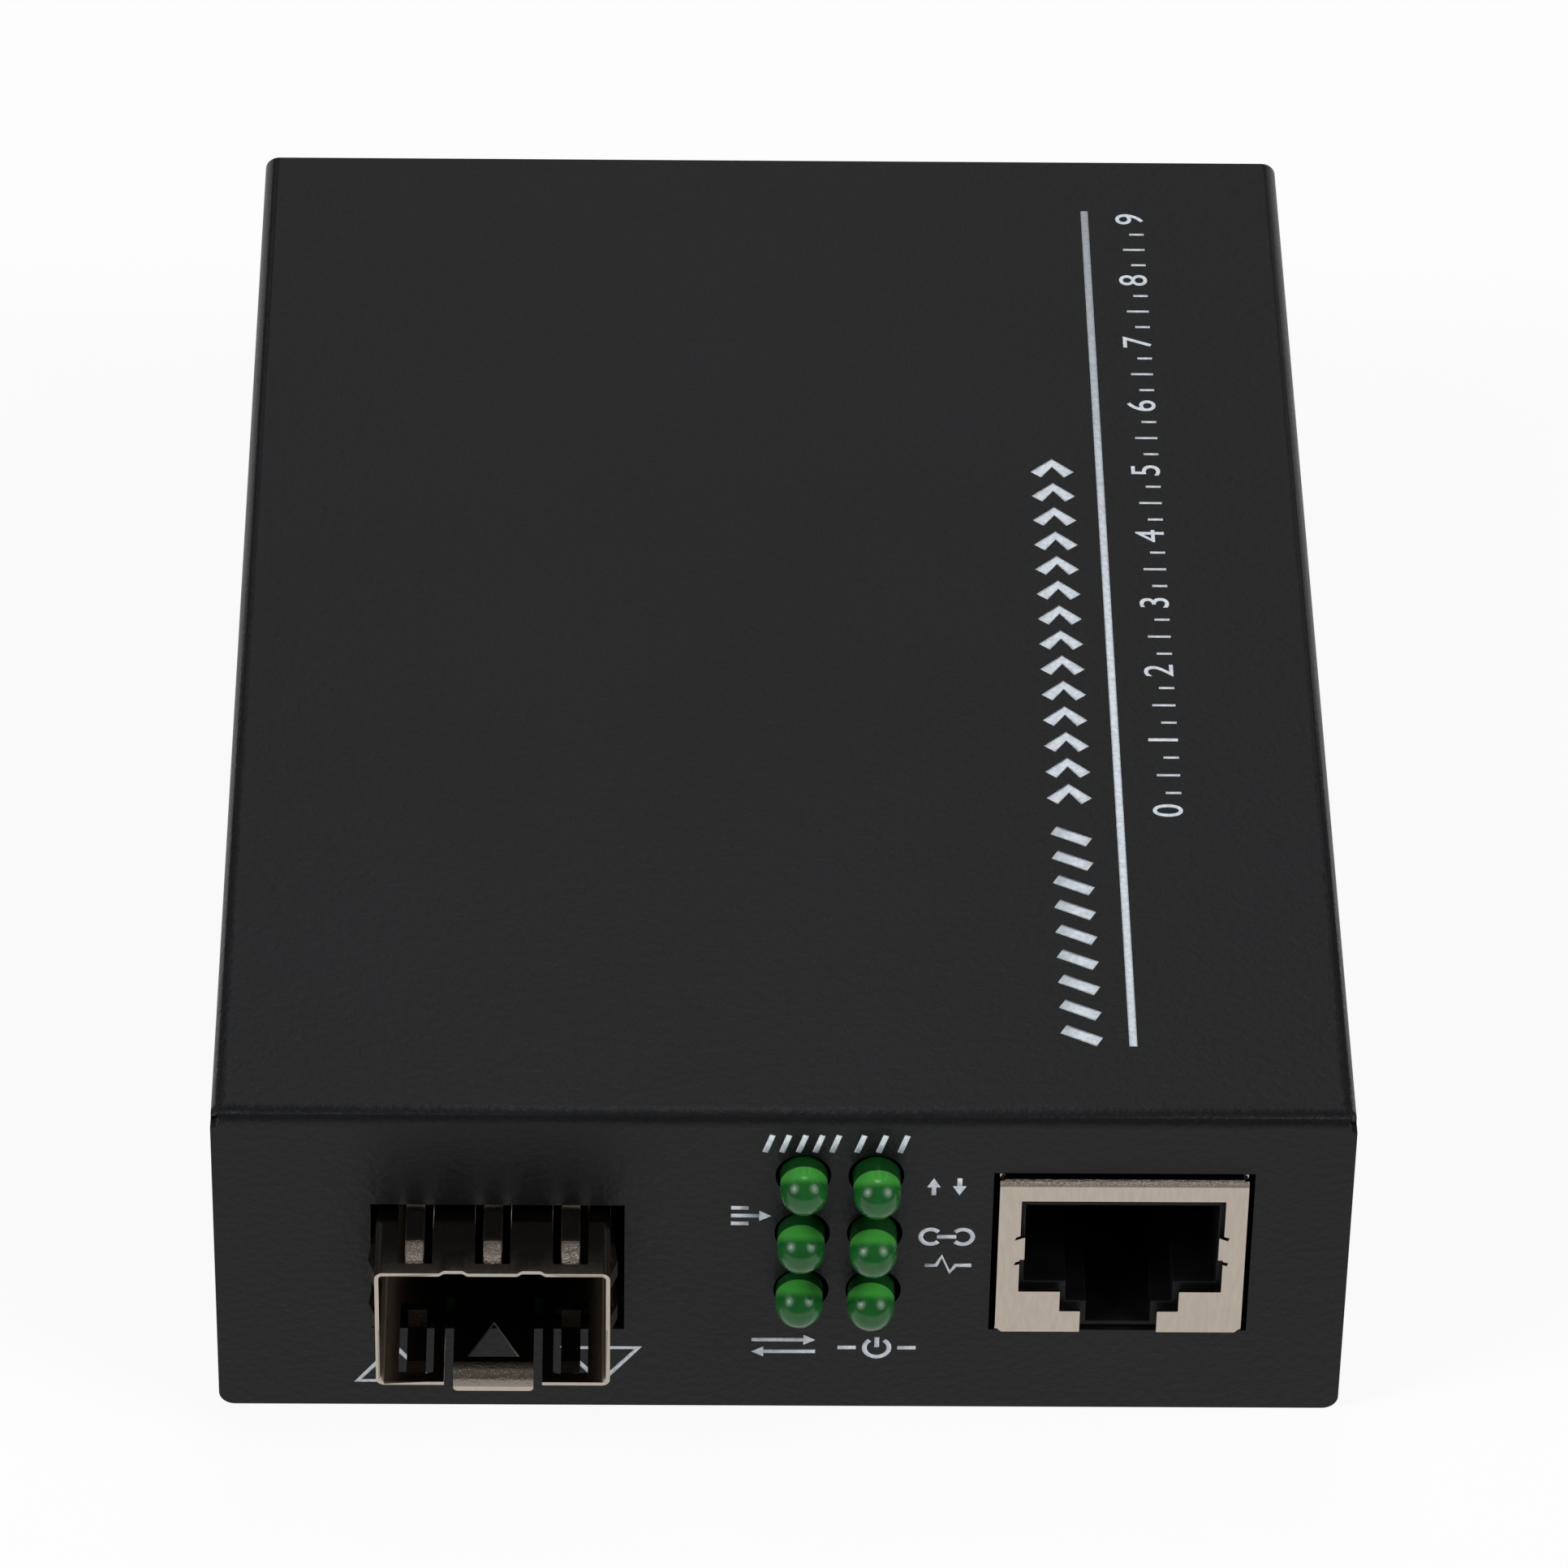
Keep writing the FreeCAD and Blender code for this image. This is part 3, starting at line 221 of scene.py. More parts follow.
# %% Steel, tin, aluminium and gold
screw_steel = make_finish("screw_steel", screen_colour(52, 52, 54), screen_colour(70, 70, 73),
                          patch=0.8 * MM, roughness=(0.3, 0.45), grain=0.1 * MM,
                          depth=0.004 * MM, metallic=1.0)
tin = make_finish("tin", screen_colour(176, 176, 174), screen_colour(198, 198, 196),
                  patch=1.0 * MM, roughness=(0.28, 0.42), grain=0.15 * MM,
                  depth=0.004 * MM, metallic=1.0)
can_metal = make_finish("can_metal", screen_colour(190, 191, 193), screen_colour(212, 213, 215),
                        patch=1.5 * MM, roughness=(0.22, 0.36), grain=0.1 * MM,
                        depth=0.003 * MM, metallic=1.0, stretch=(4, 4, 1))
gold = make_finish("gold", screen_colour(205, 164, 84), screen_colour(226, 188, 108),
                   patch=0.8 * MM, roughness=(0.2, 0.32), grain=0.1 * MM,
                   depth=0.002 * MM, metallic=1.0)
print("metals:", [metal.name for metal in (screw_steel, tin, can_metal, gold)])

# %% [markdown]
# ## Plastics and the circuit board
# Moulded parts have a fine spark-eroded texture. The board's green solder mask is glossier and
# lies over copper tracks, which show as slightly lighter lines. A wave pattern bent by noise
# stands for the tracks, because nothing reads them closely inside a closed case.

# %% Black plastic and solder mask
black_plastic = make_finish("black_plastic", screen_colour(10, 10, 11), screen_colour(15, 15, 16),
                            patch=2.0 * MM, roughness=(0.42, 0.58), grain=0.14 * MM,
                            depth=0.01 * MM, specular=0.15)
solder_mask, tree, shader = new_finish("solder_mask")
where = tree.nodes.new("ShaderNodeTexCoord")
tracks = tree.nodes.new("ShaderNodeTexWave")
tracks.inputs["Scale"].default_value = 160
tracks.inputs["Distortion"].default_value = 6
tracks.inputs["Detail"].default_value = 0
tree.links.new(where.outputs["Object"], tracks.inputs["Vector"])
mask = blend_colours(tree, tracks.outputs["Fac"], screen_colour(14, 66, 38),
                     screen_colour(24, 92, 52))
tree.links.new(mask, shader.inputs["Base Color"])
tree.links.new(between(tree, noise(tree, 1.5 * MM), 0.2, 0.34), shader.inputs["Roughness"])
raise_grain(tree, shader, tracks.outputs["Fac"], 0.02 * MM, 0.5)
print("plastics:", black_plastic.name, solder_mask.name)

# %% [markdown]
# ## Green lens
# The lights are cast in green resin. Their colour holds painted light: the straight barrel is
# painted a darker green as painted shade, and the top of the round tip a brighter green as a
# painted glow, the bright crown that light from above makes under its top. Two attributes on the
# mesh say where the tip begins and where the painted glow lies, so that the shader needs to know
# nothing of each lens's place. The skin is smooth, and mirrors the soft boxes as two bright spots.

# %% The resin of the status lights
green_resin, tree, shader = new_finish("green_resin")
tip = tree.nodes.new("ShaderNodeAttribute")
tip.attribute_name = "tip"
painted_glow_height = tree.nodes.new("ShaderNodeAttribute")
painted_glow_height.attribute_name = "painted_glow_height"
painted_glow_share = tree.nodes.new("ShaderNodeMapRange")
painted_glow_share.interpolation_type = "SMOOTHSTEP"
painted_glow_share.inputs["From Min"].default_value = -0.45
painted_glow_share.inputs["From Max"].default_value = 0.35
tree.links.new(painted_glow_height.outputs["Fac"], painted_glow_share.inputs["Value"])
cloud = between(tree, noise(tree, 0.9 * MM), 0, 1)
body = blend_colours(tree, cloud, screen_colour(15, 74, 26), screen_colour(20, 86, 34))
# Painted glow: the top of the tip is painted a brighter green, for light from above.
painted_glow_colour = blend_colours(tree, painted_glow_share.outputs["Result"], body, screen_colour(60, 142, 54))
# Painted shade: the barrel is painted a darker green than the tip.
resin_with_painted_light = blend_colours(tree, tip.outputs["Fac"], screen_colour(14, 56, 21), painted_glow_colour)
tree.links.new(resin_with_painted_light, shader.inputs["Base Color"])
shader.inputs["Subsurface Weight"].default_value = 0.25
shader.inputs["Subsurface Radius"].default_value = (0.25, 1.0, 0.35)
shader.inputs["Subsurface Scale"].default_value = 0.25 * MM
shader.inputs["Specular IOR Level"].default_value = 0.4
tree.links.new(between(tree, noise(tree, 0.6 * MM), 0.17, 0.22), shader.inputs["Roughness"])
raise_grain(tree, shader, noise(tree, 0.8 * MM), 0.004 * MM, 0.5)
print("lens resin:", len(tree.nodes), "nodes")

# %% [markdown]
# ## Ink
# The marks on the case are screen-printed in a pale, slightly blue white. Ink lies unevenly on
# a textured coat, so it is mottled and its surface follows the coat's grit.

# %% Screen-printing ink
ink = make_finish("ink", screen_colour(186, 194, 202), screen_colour(216, 223, 230),
                  patch=0.3 * MM, roughness=(0.5, 0.65), grain=0.16 * MM,
                  depth=0.012 * MM, specular=0.3)
print("ink ready")

# %% [markdown]
# ## Which piece has which finish
# The CAD nodes keep their shapes and only change their material. The record's own slots say
# what each node is made of, so one table from slot to finish covers them all.

# %% Finish of every CAD node
FINISHES = {
    "case_paint": powder_coat, "nickel": nickel, "screw_steel": screw_steel,
    "board": solder_mask, "black_plastic": black_plastic, "gold_contact": gold,
    "tin_lead": tin, "green_lens": green_resin, "can_metal": can_metal,
}
for subpart in frame["record"]["subparts"]:
    node = frame["nodes"][subpart["node"]]
    node.data.materials.clear()
    node.data.materials.append(FINISHES[subpart["material_slot"]])

# %% [markdown]
# ## Finishing a new piece
# Each new piece ends the same way: it gets its finish, and it rides on the one rigid body. The
# object stays at the origin and its place is in its mesh, because that is how the CAD nodes are
# kept too.

# %% Hand a new piece over
def finish_piece(piece, finish):
    """Gives a new piece its finish and its body."""
    piece.data.materials.clear()
    piece.data.materials.append(finish)
    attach(piece, "root")
    print(piece.name, "has", len(piece.data.polygons), "faces")


def object_from(name, shape):
    """A new object from a bmesh."""
    bmesh.ops.recalc_face_normals(shape, faces=shape.faces)
    mesh = bpy.data.meshes.new(name)
    shape.to_mesh(mesh)
    shape.free()
    piece = bpy.data.objects.new(name, mesh)
    bpy.context.scene.collection.objects.link(piece)
    return piece


print("ready to hand pieces over")

# %% [markdown]
# ## Stamped and folded sheet
# A stamped sheet has no truly sharp corner: the tool leaves a small radius in every corner of an
# outline, and the cut edge itself is broken by plating or by the coat. Both catch light, and they
# are what makes the rim of the cage shine. Each sheet piece is copied from its CAD node, its short
# edges through the gauge are rounded, and then every remaining sharp edge gets a fine bevel.
# Blender narrows the bevels of a piece to what its shortest edge leaves, and slivers of a few
# microns are dissolved again, so little is left of that last bevel on the cage and on the case.
# Faces that neither look straight ahead nor stand square to the front belong to bends, and are
# marked as such; the nickel is rougher there and gets painted shade. The case has no small
# stamped corners and the mouldings have no gauge, so on their copies only the sharp edges are
# broken.

# %% Rounding a copy of a CAD node
FLAT, SHARP = radians(0.5), radians(50)
BEND_SEGMENTS, BREAK_SEGMENTS = 4, 2
WELD, SLIVER, GAUGE_SLACK = 0.001 * MM, 0.004 * MM, 0.01 * MM
LEAST_FORWARD, MOST_FORWARD = 0.1, 0.995


def join_angle(edge):
    """Angle between the two faces at an edge, or nothing at an open one."""
    return edge.calc_face_angle(0.0) if len(edge.link_faces) == 2 else 0.0


def round_edges(shape, edges, width, segments):
    """A round bevel of the given width on the edges."""
    bmesh.ops.bevel(shape, geom=edges, offset=width, offset_type="OFFSET", affect="EDGES",
                    segments=segments, profile=0.5, material=-1, clamp_overlap=True)


def merge_flats(shape):
    """Joins the triangles that lie in one plane into one face."""
    bmesh.ops.dissolve_limit(shape, angle_limit=FLAT, verts=shape.verts, edges=shape.edges)


def square_end(shape, start, end):
    """Cuts a sheet off behind start and runs its section straight on to end."""
    everything = [*shape.verts, *shape.edges, *shape.faces]
    bmesh.ops.bisect_plane(shape, geom=everything, plane_co=(0, start, 0), plane_no=(0, 1, 0),
                           clear_outer=True)
    section = [edge for edge in shape.edges if edge.is_boundary]
    run = bmesh.ops.extrude_edge_only(shape, edges=section)["geom"]
    bmesh.ops.translate(shape, vec=(0, end - start, 0),
                        verts=[item for item in run if isinstance(item, bmesh.types.BMVert)])
    bmesh.ops.triangle_fill(shape, use_beauty=True,
                            edges=[edge for edge in shape.edges if edge.is_boundary])


def dressed_copy(node_name, edge_width, gauge=0, corner=0, first=(), square=None, coarse=1.0):
    """A copy of a CAD node with rounded stamped corners and broken edges.

    Corner is the radius of the stamped corners of a sheet with that gauge. First come pairs of a
    radius and a test of an edge, for bends that have their own radius. Square gives where a
    plain cut end starts and where it ends. Coarse says how coarse the plate is at the bends,
    from 0 for smooth; up to 1 the painted shade of the bends deepens with it, and above 1 only
    its grain and roughness grow.
    """
    shape = bmesh.new()
    shape.from_mesh(frame["nodes"][node_name].data)
    bmesh.ops.remove_doubles(shape, verts=shape.verts, dist=WELD)
    merge_flats(shape)
    if square:
        square_end(shape, *square)
        merge_flats(shape)
    for width, wanted in first:
        round_edges(shape, [edge for edge in shape.edges if wanted(edge)], width, BEND_SEGMENTS)
    if corner:
        through = [edge for edge in shape.edges if join_angle(edge) > SHARP
                   and abs(edge.calc_length() - gauge) < GAUGE_SLACK]
        round_edges(shape, through, corner, BEND_SEGMENTS)
    sharp = [edge for edge in shape.edges if join_angle(edge) > SHARP]
    round_edges(shape, sharp, edge_width, BREAK_SEGMENTS)
    bmesh.ops.dissolve_degenerate(shape, dist=SLIVER, edges=shape.edges)
    # The mark of the bends: there the nickel is rougher and grainier, and painted darker as
    # painted shade.
    is_bent = shape.faces.layers.float.new("bent")
    for face in shape.faces:
        face[is_bent] = coarse * (LEAST_FORWARD < abs(face.normal.y) < MOST_FORWARD)
    piece = object_from(node_name + "_dressed", shape)
    piece.data.shade_smooth()
    piece.data.set_sharp_from_angle(angle=SHARP)
    level = piece.modifiers.new("even_normals", "WEIGHTED_NORMAL")
    level.keep_sharp = True
    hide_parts(node_name)
    return piece


print("ready to dress copies")

# %% [markdown]
# ## Bends of the cage
# The CAD lip is rolled in three flats and the fingers are bowed in straight runs. On the real cage
# both are smooth. The joints between the flats are rounded on the copy: those of the lip by most
# of a flat, and those at the top of the roof fingers by half a millimetre. The free corners of the
# lip are cut with a larger radius than the rest, and the long sides of the roof fingers are broken
# more, because shearing rolls the top edge of such narrow strips over.

# %% The dressed cage
cage_low, cage_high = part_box("sfp_cage")


def middle_of(edge):
    """The point half way along an edge."""
    return (edge.verts[0].co + edge.verts[1].co) / 2


def along_x(edge):
    """True where an edge runs across the cage."""
    return abs(edge.verts[0].co.x - edge.verts[1].co.x) > 0.99 * edge.calc_length()


def soft_joint(edge):
    """True at the joint of two flats that stand for one curve."""
    return radians(12) < join_angle(edge) < radians(40) and along_x(edge)


def lip_joint(edge):
    """True at the joints of the rolled lip, low down and in front of the case."""
    middle = middle_of(edge)
    return (soft_joint(edge) and middle.z < cage_low.z + 1.5 * MM and
            middle.y < cage_low.y + 2.0 * MM)


def finger_joint(edge):
    """True at the top of the bowed fingers in the roof."""
    return soft_joint(edge) and middle_of(edge).z > cage_high.z - 0.3 * MM


def finger_side(edge):
    """True along the upper long sides of the roof fingers."""
    run = edge.verts[0].co - edge.verts[1].co
    return (join_angle(edge) > SHARP and abs(run.y) > 0.8 * edge.calc_length() and
            middle_of(edge).z > cage_high.z - 1.2 * MM and
            any(face.normal.z > 0.9 for face in edge.link_faces))


def lip_corner(edge):
    """True at the short edges at the free corners of the lip."""
    return middle_of(edge).z < cage_low.z + 0.05 * MM and edge.calc_length() < 0.3 * MM


PORT_GAUGE, PLATE_BREAK = 0.25 * MM, 0.03 * MM
cage_bends = ((0.17 * MM, lip_joint), (0.5 * MM, finger_joint), (0.3 * MM, lip_corner),
              (0.08 * MM, finger_side))
cage = dressed_copy("sfp_cage", PLATE_BREAK, PORT_GAUGE, corner=0.16 * MM, first=cage_bends)
finish_piece(cage, nickel)

# %% [markdown]
# ## Shield, case and mouldings
# The plate at the shield's bends is coarser than the cage's, and sparkles. The cover was folded
# from a sheet that had been cut straight, so its rear end is plain. The CAD cover is rounded
# there, and so its copy loses the last stretch and has the section in front of it run on to the
# end.

# %% The dressed shield, case and mouldings
CASE_BREAK = 0.1 * MM
END_STRETCH = 1.3 * MM
shield = dressed_copy("rj45_shield", PLATE_BREAK, PORT_GAUGE, corner=0.14 * MM, coarse=2.5)
finish_piece(shield, nickel)
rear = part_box("cover")[1].y
cover = dressed_copy("cover", CASE_BREAK, square=(rear - END_STRETCH, rear))
finish_piece(cover, powder_coat)
finish_piece(dressed_copy("base", CASE_BREAK), powder_coat)
finish_piece(dressed_copy("rj45_housing", 0.08 * MM), black_plastic)
finish_piece(dressed_copy("dc_jack_housing", 0.12 * MM), black_plastic)

# %% [markdown]
# ## Side screws
# Each side wall is held by one countersunk screw that ends flush with it. The CAD screw is a plain
# body, so its driving recess is made here: a cross whose arms narrow as they go down. The place
# and the width of each head are read from the CAD mesh, and the recess is a share of the head.

# %% Countersunk screws with a cross recess
CONE = 0.75 * MM
THREAD_RADIUS = 1.45 * MM
MOUTH_REACH, MOUTH_ARM = 0.62, 0.13
BOTTOM_REACH, BOTTOM_ARM, RECESS_DEPTH = 0.34, 0.09, 0.4
SCREW_TURN = radians(20)


def cross_outline(reach, arm):
    """The twelve corners of a cross, going round."""
    corners = []
    for turn in range(4):
        ahead, aside = cos(turn * pi / 2), sin(turn * pi / 2)
        corners += [(across * ahead - up * aside, across * aside + up * ahead)
                    for across, up in ((reach, -arm), (reach, arm), (arm, arm))]
    return corners


def ring(shape, outline, depth):
    """The points of an outline, laid at a depth below the head."""
    return [shape.verts.new((across, up, -depth)) for across, up in outline]


def wall(shape, upper, lower):
    """A band of faces between two rings with as many points."""
    for step in range(len(upper)):
        shape.faces.new((upper[step - 1], upper[step], lower[step], lower[step - 1]))


def circle(radius, steps=40):
    """Points going round a circle."""
    return [(radius * cos(2 * pi * step / steps), radius * sin(2 * pi * step / steps))
            for step in range(steps)]


def countersunk_screw(head, thread, length):
    """A screw that looks up: the top of its head lies in the plane of X and Y."""
    shape = bmesh.new()
    rim = ring(shape, circle(head), 0)
    mouth = ring(shape, cross_outline(head * MOUTH_REACH, head * MOUTH_ARM), 0)
    edges = [shape.edges.new((loop[step - 1], loop[step]))
             for loop in (rim, mouth) for step in range(len(loop))]
    bmesh.ops.triangle_fill(shape, use_beauty=True, edges=edges)
    bottom = ring(shape, cross_outline(head * BOTTOM_REACH, head * BOTTOM_ARM),
                  head * RECESS_DEPTH)
    wall(shape, mouth, bottom)
    shape.faces.new(bottom)
    neck = ring(shape, circle(head - CONE), CONE)
    top_of_thread = ring(shape, circle(thread), CONE)
    end = ring(shape, circle(thread), length)
    for upper, lower in ((rim, neck), (neck, top_of_thread), (top_of_thread, end)):
        wall(shape, upper, lower)
    shape.faces.new(end)
    return shape


both = bmesh.new()
for side in (-1, 1):
    points = [vertex.co for vertex in frame["nodes"]["case_screws"].data.vertices
              if vertex.co.x * side > 0]
    low, high = [Vector([choose(point[axis] for point in points) for axis in range(3)])
                 for choose in (min, max)]
    screw = countersunk_screw((high.z - low.z) / 2, THREAD_RADIUS, high.x - low.x)
    outer = high.x if side > 0 else low.x
    place = Matrix.Translation((outer, (low.y + high.y) / 2, (low.z + high.z) / 2))
    bmesh.ops.transform(screw, matrix=place @ Matrix.Rotation(side * pi / 2, 4, "Y")
                        @ Matrix.Rotation(SCREW_TURN, 4, "Z"), verts=screw.verts)
    turned = bpy.data.meshes.new("screw")
    screw.to_mesh(turned)
    screw.free()
    both.from_mesh(turned)
screws = object_from("side_screws_dressed", both)
finish_piece(screws, screw_steel)
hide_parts("case_screws")

# %% [markdown]
# ## Lenses
# A moulded lens is a body of revolution: a straight barrel with a half-round tip. The CAD tip
# is turned in short facets, so a smooth lens takes its place. Its axis is read from the CAD
# mesh, from the middle of the flat root to the point of the tip, because every light leans a
# little. The profile is spun once round that axis. The painted glow goes on what lies above a
# slanted plane through the tip, so its attribute is the height over that plane, in millimetres.
# A short step in the profile keeps the painted shade of the barrel apart from the tip.

# %% Smooth lenses in place of the faceted ones
TIP_STEPS, LENS_STEPS = 12, 48
ROOT_SHARE, ROOT_BREAK = 0.97, 0.05 * MM
# Slope and level of the plane above which the tip gets its painted glow.
PAINTED_GLOW_SLOPE, PAINTED_GLOW_LEVEL = 0.877, 0.807


def lens_axis(node):
    """Middle of the flat root, the point of the tip and the radius of a CAD lens."""
    points = [vertex.co for vertex in node.data.vertices]
    far = max(point.y for point in points)
    root_rim = [point for point in points if far - point.y < 0.15 * MM]
    root = sum(root_rim, Vector()) / len(root_rim)
    tip = min(points, key=lambda point: point.y)
    radius = (max(point.z for point in points) - min(point.z for point in points)) / 2
    return root, tip, radius


def spin_lens(name, root, tip, radius):
    """A lens turned round its axis, with its tip and the place of its painted glow marked."""
    shape = bmesh.new()
    in_tip = shape.verts.layers.float.new("tip")
    in_painted_glow_height = shape.verts.layers.float.new("painted_glow_height")
    shoulder = (tip - root).length - radius
    barrel_end, tip_start = shoulder - 0.75 * MM, shoulder - 0.67 * MM
    turns = [pi / 2 * step / TIP_STEPS for step in range(TIP_STEPS + 1)]
    profile = [(0, 0), (radius * ROOT_SHARE, 0), (radius, ROOT_BREAK), (radius, barrel_end),
               (radius, tip_start)]
    profile += [(radius * cos(turn), shoulder + radius * sin(turn)) for turn in turns]
    points = [shape.verts.new((across, 0, along)) for across, along in profile]
    for point in points:
        point[in_tip] = float(point.co.z > (barrel_end + tip_start) / 2)
    edges = [shape.edges.new(pair) for pair in zip(points, points[1:])]
    bmesh.ops.spin(shape, geom=points + edges, cent=(0, 0, 0), axis=(0, 0, 1), angle=2 * pi,
                   steps=LENS_STEPS, use_merge=True)
    bmesh.ops.remove_doubles(shape, verts=shape.verts, dist=0.002 * MM)
    lay = Vector((0, 0, 1)).rotation_difference(tip - root).to_matrix().to_4x4()
    bmesh.ops.transform(shape, matrix=Matrix.Translation(root) @ lay, verts=shape.verts)
    forward = (tip - root).normalized()
    middle = root + forward * shoulder
    # Height over a slanted plane through the tip: the mask of the painted glow.
    for point in shape.verts:
        above = (point.co.z - middle.z) / MM
        ahead = (point.co - middle).dot(forward) / MM
        point[in_painted_glow_height] = PAINTED_GLOW_SLOPE * above - PAINTED_GLOW_LEVEL - ahead
    lens = object_from(name, shape)
    lens.data.shade_smooth()
    return lens


for column in ("left", "right"):
    for row in ("bottom", "middle", "top"):
        node_name = f"led_{column}_{row}"
        lens = spin_lens(f"lens_{column}_{row}", *lens_axis(frame["nodes"][node_name]))
        finish_piece(lens, green_resin)
        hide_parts(node_name)

# %% [markdown]
# ## Printing helpers
# Ink is a film a few hundredths of a millimetre thick. A curve is the easy way to draw it: a
# stroke is a line with a round pen, flattened afterwards, and a filled shape is a closed
# outline given a little thickness. Both become meshes before they are laid on the case. They
# are drawn flat in millimetres first, across and up, and then turned onto the panel.

# %% Pen strokes, filled shapes and numerals
INK_FILM = 0.02 * MM
case_low, case_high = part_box("cover")
ON_FRONT = Matrix.Translation((0, case_low.y, 0)) @ Matrix.Rotation(radians(90), 4, "X")
ON_TOP = Matrix.Translation((0, 0, case_high.z))
print("front panel at", round(case_low.y / MM, 2), "mm")
print("roof at", round(case_high.z / MM, 2), "mm")


def mesh_of(curve_data):
    """The mesh of a curve or text, as drawn."""
    drawn = bpy.data.objects.new("drawing", curve_data)
    bpy.context.scene.collection.objects.link(drawn)
    bpy.context.view_layer.update()
    mesh = bpy.data.meshes.new_from_object(drawn.evaluated_get(
        bpy.context.evaluated_depsgraph_get()))
    bpy.data.objects.remove(drawn)
    return mesh


def pen(strokes, width):
    """Strokes of one width; each is a list of points, and ends with True if it closes."""
    drawing = bpy.data.curves.new("strokes", "CURVE")
    drawing.dimensions = "3D"
    drawing.bevel_depth = width / 2 * MM
    drawing.bevel_resolution = 1
    drawing.use_fill_caps = True
    for stroke in strokes:
        closed = stroke[-1] is True
        points = stroke[:-1] if closed else stroke
        line = drawing.splines.new("POLY")
        line.points.add(len(points) - 1)
        for knot, (across, up) in zip(line.points, points):
            knot.co = (across * MM, up * MM, 0, 1)
        line.use_cyclic_u = closed
    mesh = mesh_of(drawing)
    flatten = 2 * INK_FILM / (width * MM)
    mesh.transform(Matrix.Diagonal((1, 1, flatten, 1)))
    return mesh


def filled(outlines):
    """Closed outlines filled with ink; an outline inside another is a hole."""
    drawing = bpy.data.curves.new("fills", "CURVE")
    drawing.dimensions = "2D"
    drawing.fill_mode = "BOTH"
    drawing.extrude = INK_FILM
    for outline in outlines:
        line = drawing.splines.new("POLY")
        line.points.add(len(outline) - 1)
        for knot, (across, up) in zip(line.points, outline):
            knot.co = (across * MM, up * MM, 0, 1)
        line.use_cyclic_u = True
    return mesh_of(drawing)


def arc(centre, radius, start, end, steps=16):
    """Points on an arc, from start to end in degrees."""
    return [(centre[0] + radius * cos(radians(start + (end - start) * step / steps)),
             centre[1] + radius * sin(radians(start + (end - start) * step / steps)))
            for step in range(steps + 1)]


def print_piece(name, meshes, place):
    """Joins the drawn meshes and lays them on the case as one print."""
    shape = bmesh.new()
    for mesh in meshes:
        shape.from_mesh(mesh)
    bmesh.ops.remove_doubles(shape, verts=shape.verts, dist=0.0005 * MM)
    bmesh.ops.transform(shape, matrix=place, verts=shape.verts)
    finish_piece(object_from(name, shape), ink)


# %% [markdown]
# ## Marks for the two speeds
# Words are left off this part. Over the two columns of lights stand slanted bars in place of the
# two speeds: five bars for the fast line and three for the slow one. They fill the width of a
# short word.

# %% Speed bars over the two columns
SPEED_PEN = 0.36
BAR_LOW, BAR_HIGH, BAR_LEAN = 21.5, 22.9, 0.45


def slanted_bars(left, right, count):
    """Bars that lean to the right and fill the width between left and right."""
    step = (right - left - BAR_LEAN) / (count - 1)
    return [[(left + step * bar, BAR_LOW), (left + step * bar + BAR_LEAN, BAR_HIGH)]
            for bar in range(count)]


fast_bars = slanted_bars(-1.15, 3.4, 5)
slow_bars = slanted_bars(4.5, 7.6, 3)
print_piece("speed_marks", [pen(bars, SPEED_PEN) for bars in (fast_bars, slow_bars)], ON_FRONT)

# %% [markdown]
# ## Signs beside the lights
# The lights have plain signs in place of names: light that travels down a fibre, two arrows for
# sending and receiving over copper, a chain link and a zigzag for a live link and its traffic,
# two opposite arrows for both ways at once, and the usual circle with a bar for power, set in a
# line like a source in a circuit. Each is drawn round its own middle, at the size of small panel
# lettering, and then moved to its place. Strokes that cross at the tip of an arrow would lie in
# each other, so an arrow has a filled triangle for its head.

# %% Signs beside and below the lights
SIGN_PEN = 0.31
HEAD_LENGTH, HEAD_HALF = 0.75, 0.42
FIBRE, COPPER, LINK, TRAFFIC = (-1.95, 16.2), (10.1, 18.7), (10.2, 14.5), (10.35, 12.1)
BOTH_WAYS, POWER = (0.2, 5.2), (6.05, 5.05)
strokes, heads = [], []


def moved(points, place):
    """Points of a sign, moved from round its middle to its place."""
    return [(across + place[0], up + place[1]) for across, up in points]


def add_strokes(place, *lines):
    """Adds pen strokes to the sign at the place."""
    strokes.extend(moved(line, place) for line in lines)


def add_arrow(place, tail, point):
    """Adds a thin arrow from tail to point: its shaft and its filled head."""
    (tail_across, tail_up), (across, up) = tail, point
    reach = hypot(across - tail_across, up - tail_up)
    ahead = ((across - tail_across) / reach, (up - tail_up) / reach)
    base = (across - HEAD_LENGTH * ahead[0], up - HEAD_LENGTH * ahead[1])
    head = [point, (base[0] - HEAD_HALF * ahead[1], base[1] + HEAD_HALF * ahead[0]),
            (base[0] + HEAD_HALF * ahead[1], base[1] - HEAD_HALF * ahead[0])]
    add_strokes(place, [tail, base])
    heads.append(moved(head, place))


add_arrow(FIBRE, (-1.25, 0), (1.25, 0))
add_strokes(FIBRE, [(-1.25, 0.65), (-0.15, 0.65)], [(-1.25, -0.65), (-0.15, -0.65)])
add_arrow(COPPER, (-0.8, -0.7), (-0.8, 0.7))
add_arrow(COPPER, (0.8, 0.7), (0.8, -0.7))
add_strokes(LINK, arc((-1, 0), 0.62, 40, 320), arc((1, 0), 0.62, -140, 140),
            [(-0.6, 0), (0.6, 0)])
add_strokes(TRAFFIC, [(-1.45, 0), (-0.75, 0), (-0.4, 0.75), (0.1, -0.6), (0.45, 0), (1.45, 0)])
add_arrow(BOTH_WAYS, (-2, 0.5), (2, 0.5))
add_arrow(BOTH_WAYS, (2, -0.5), (-2, -0.5))
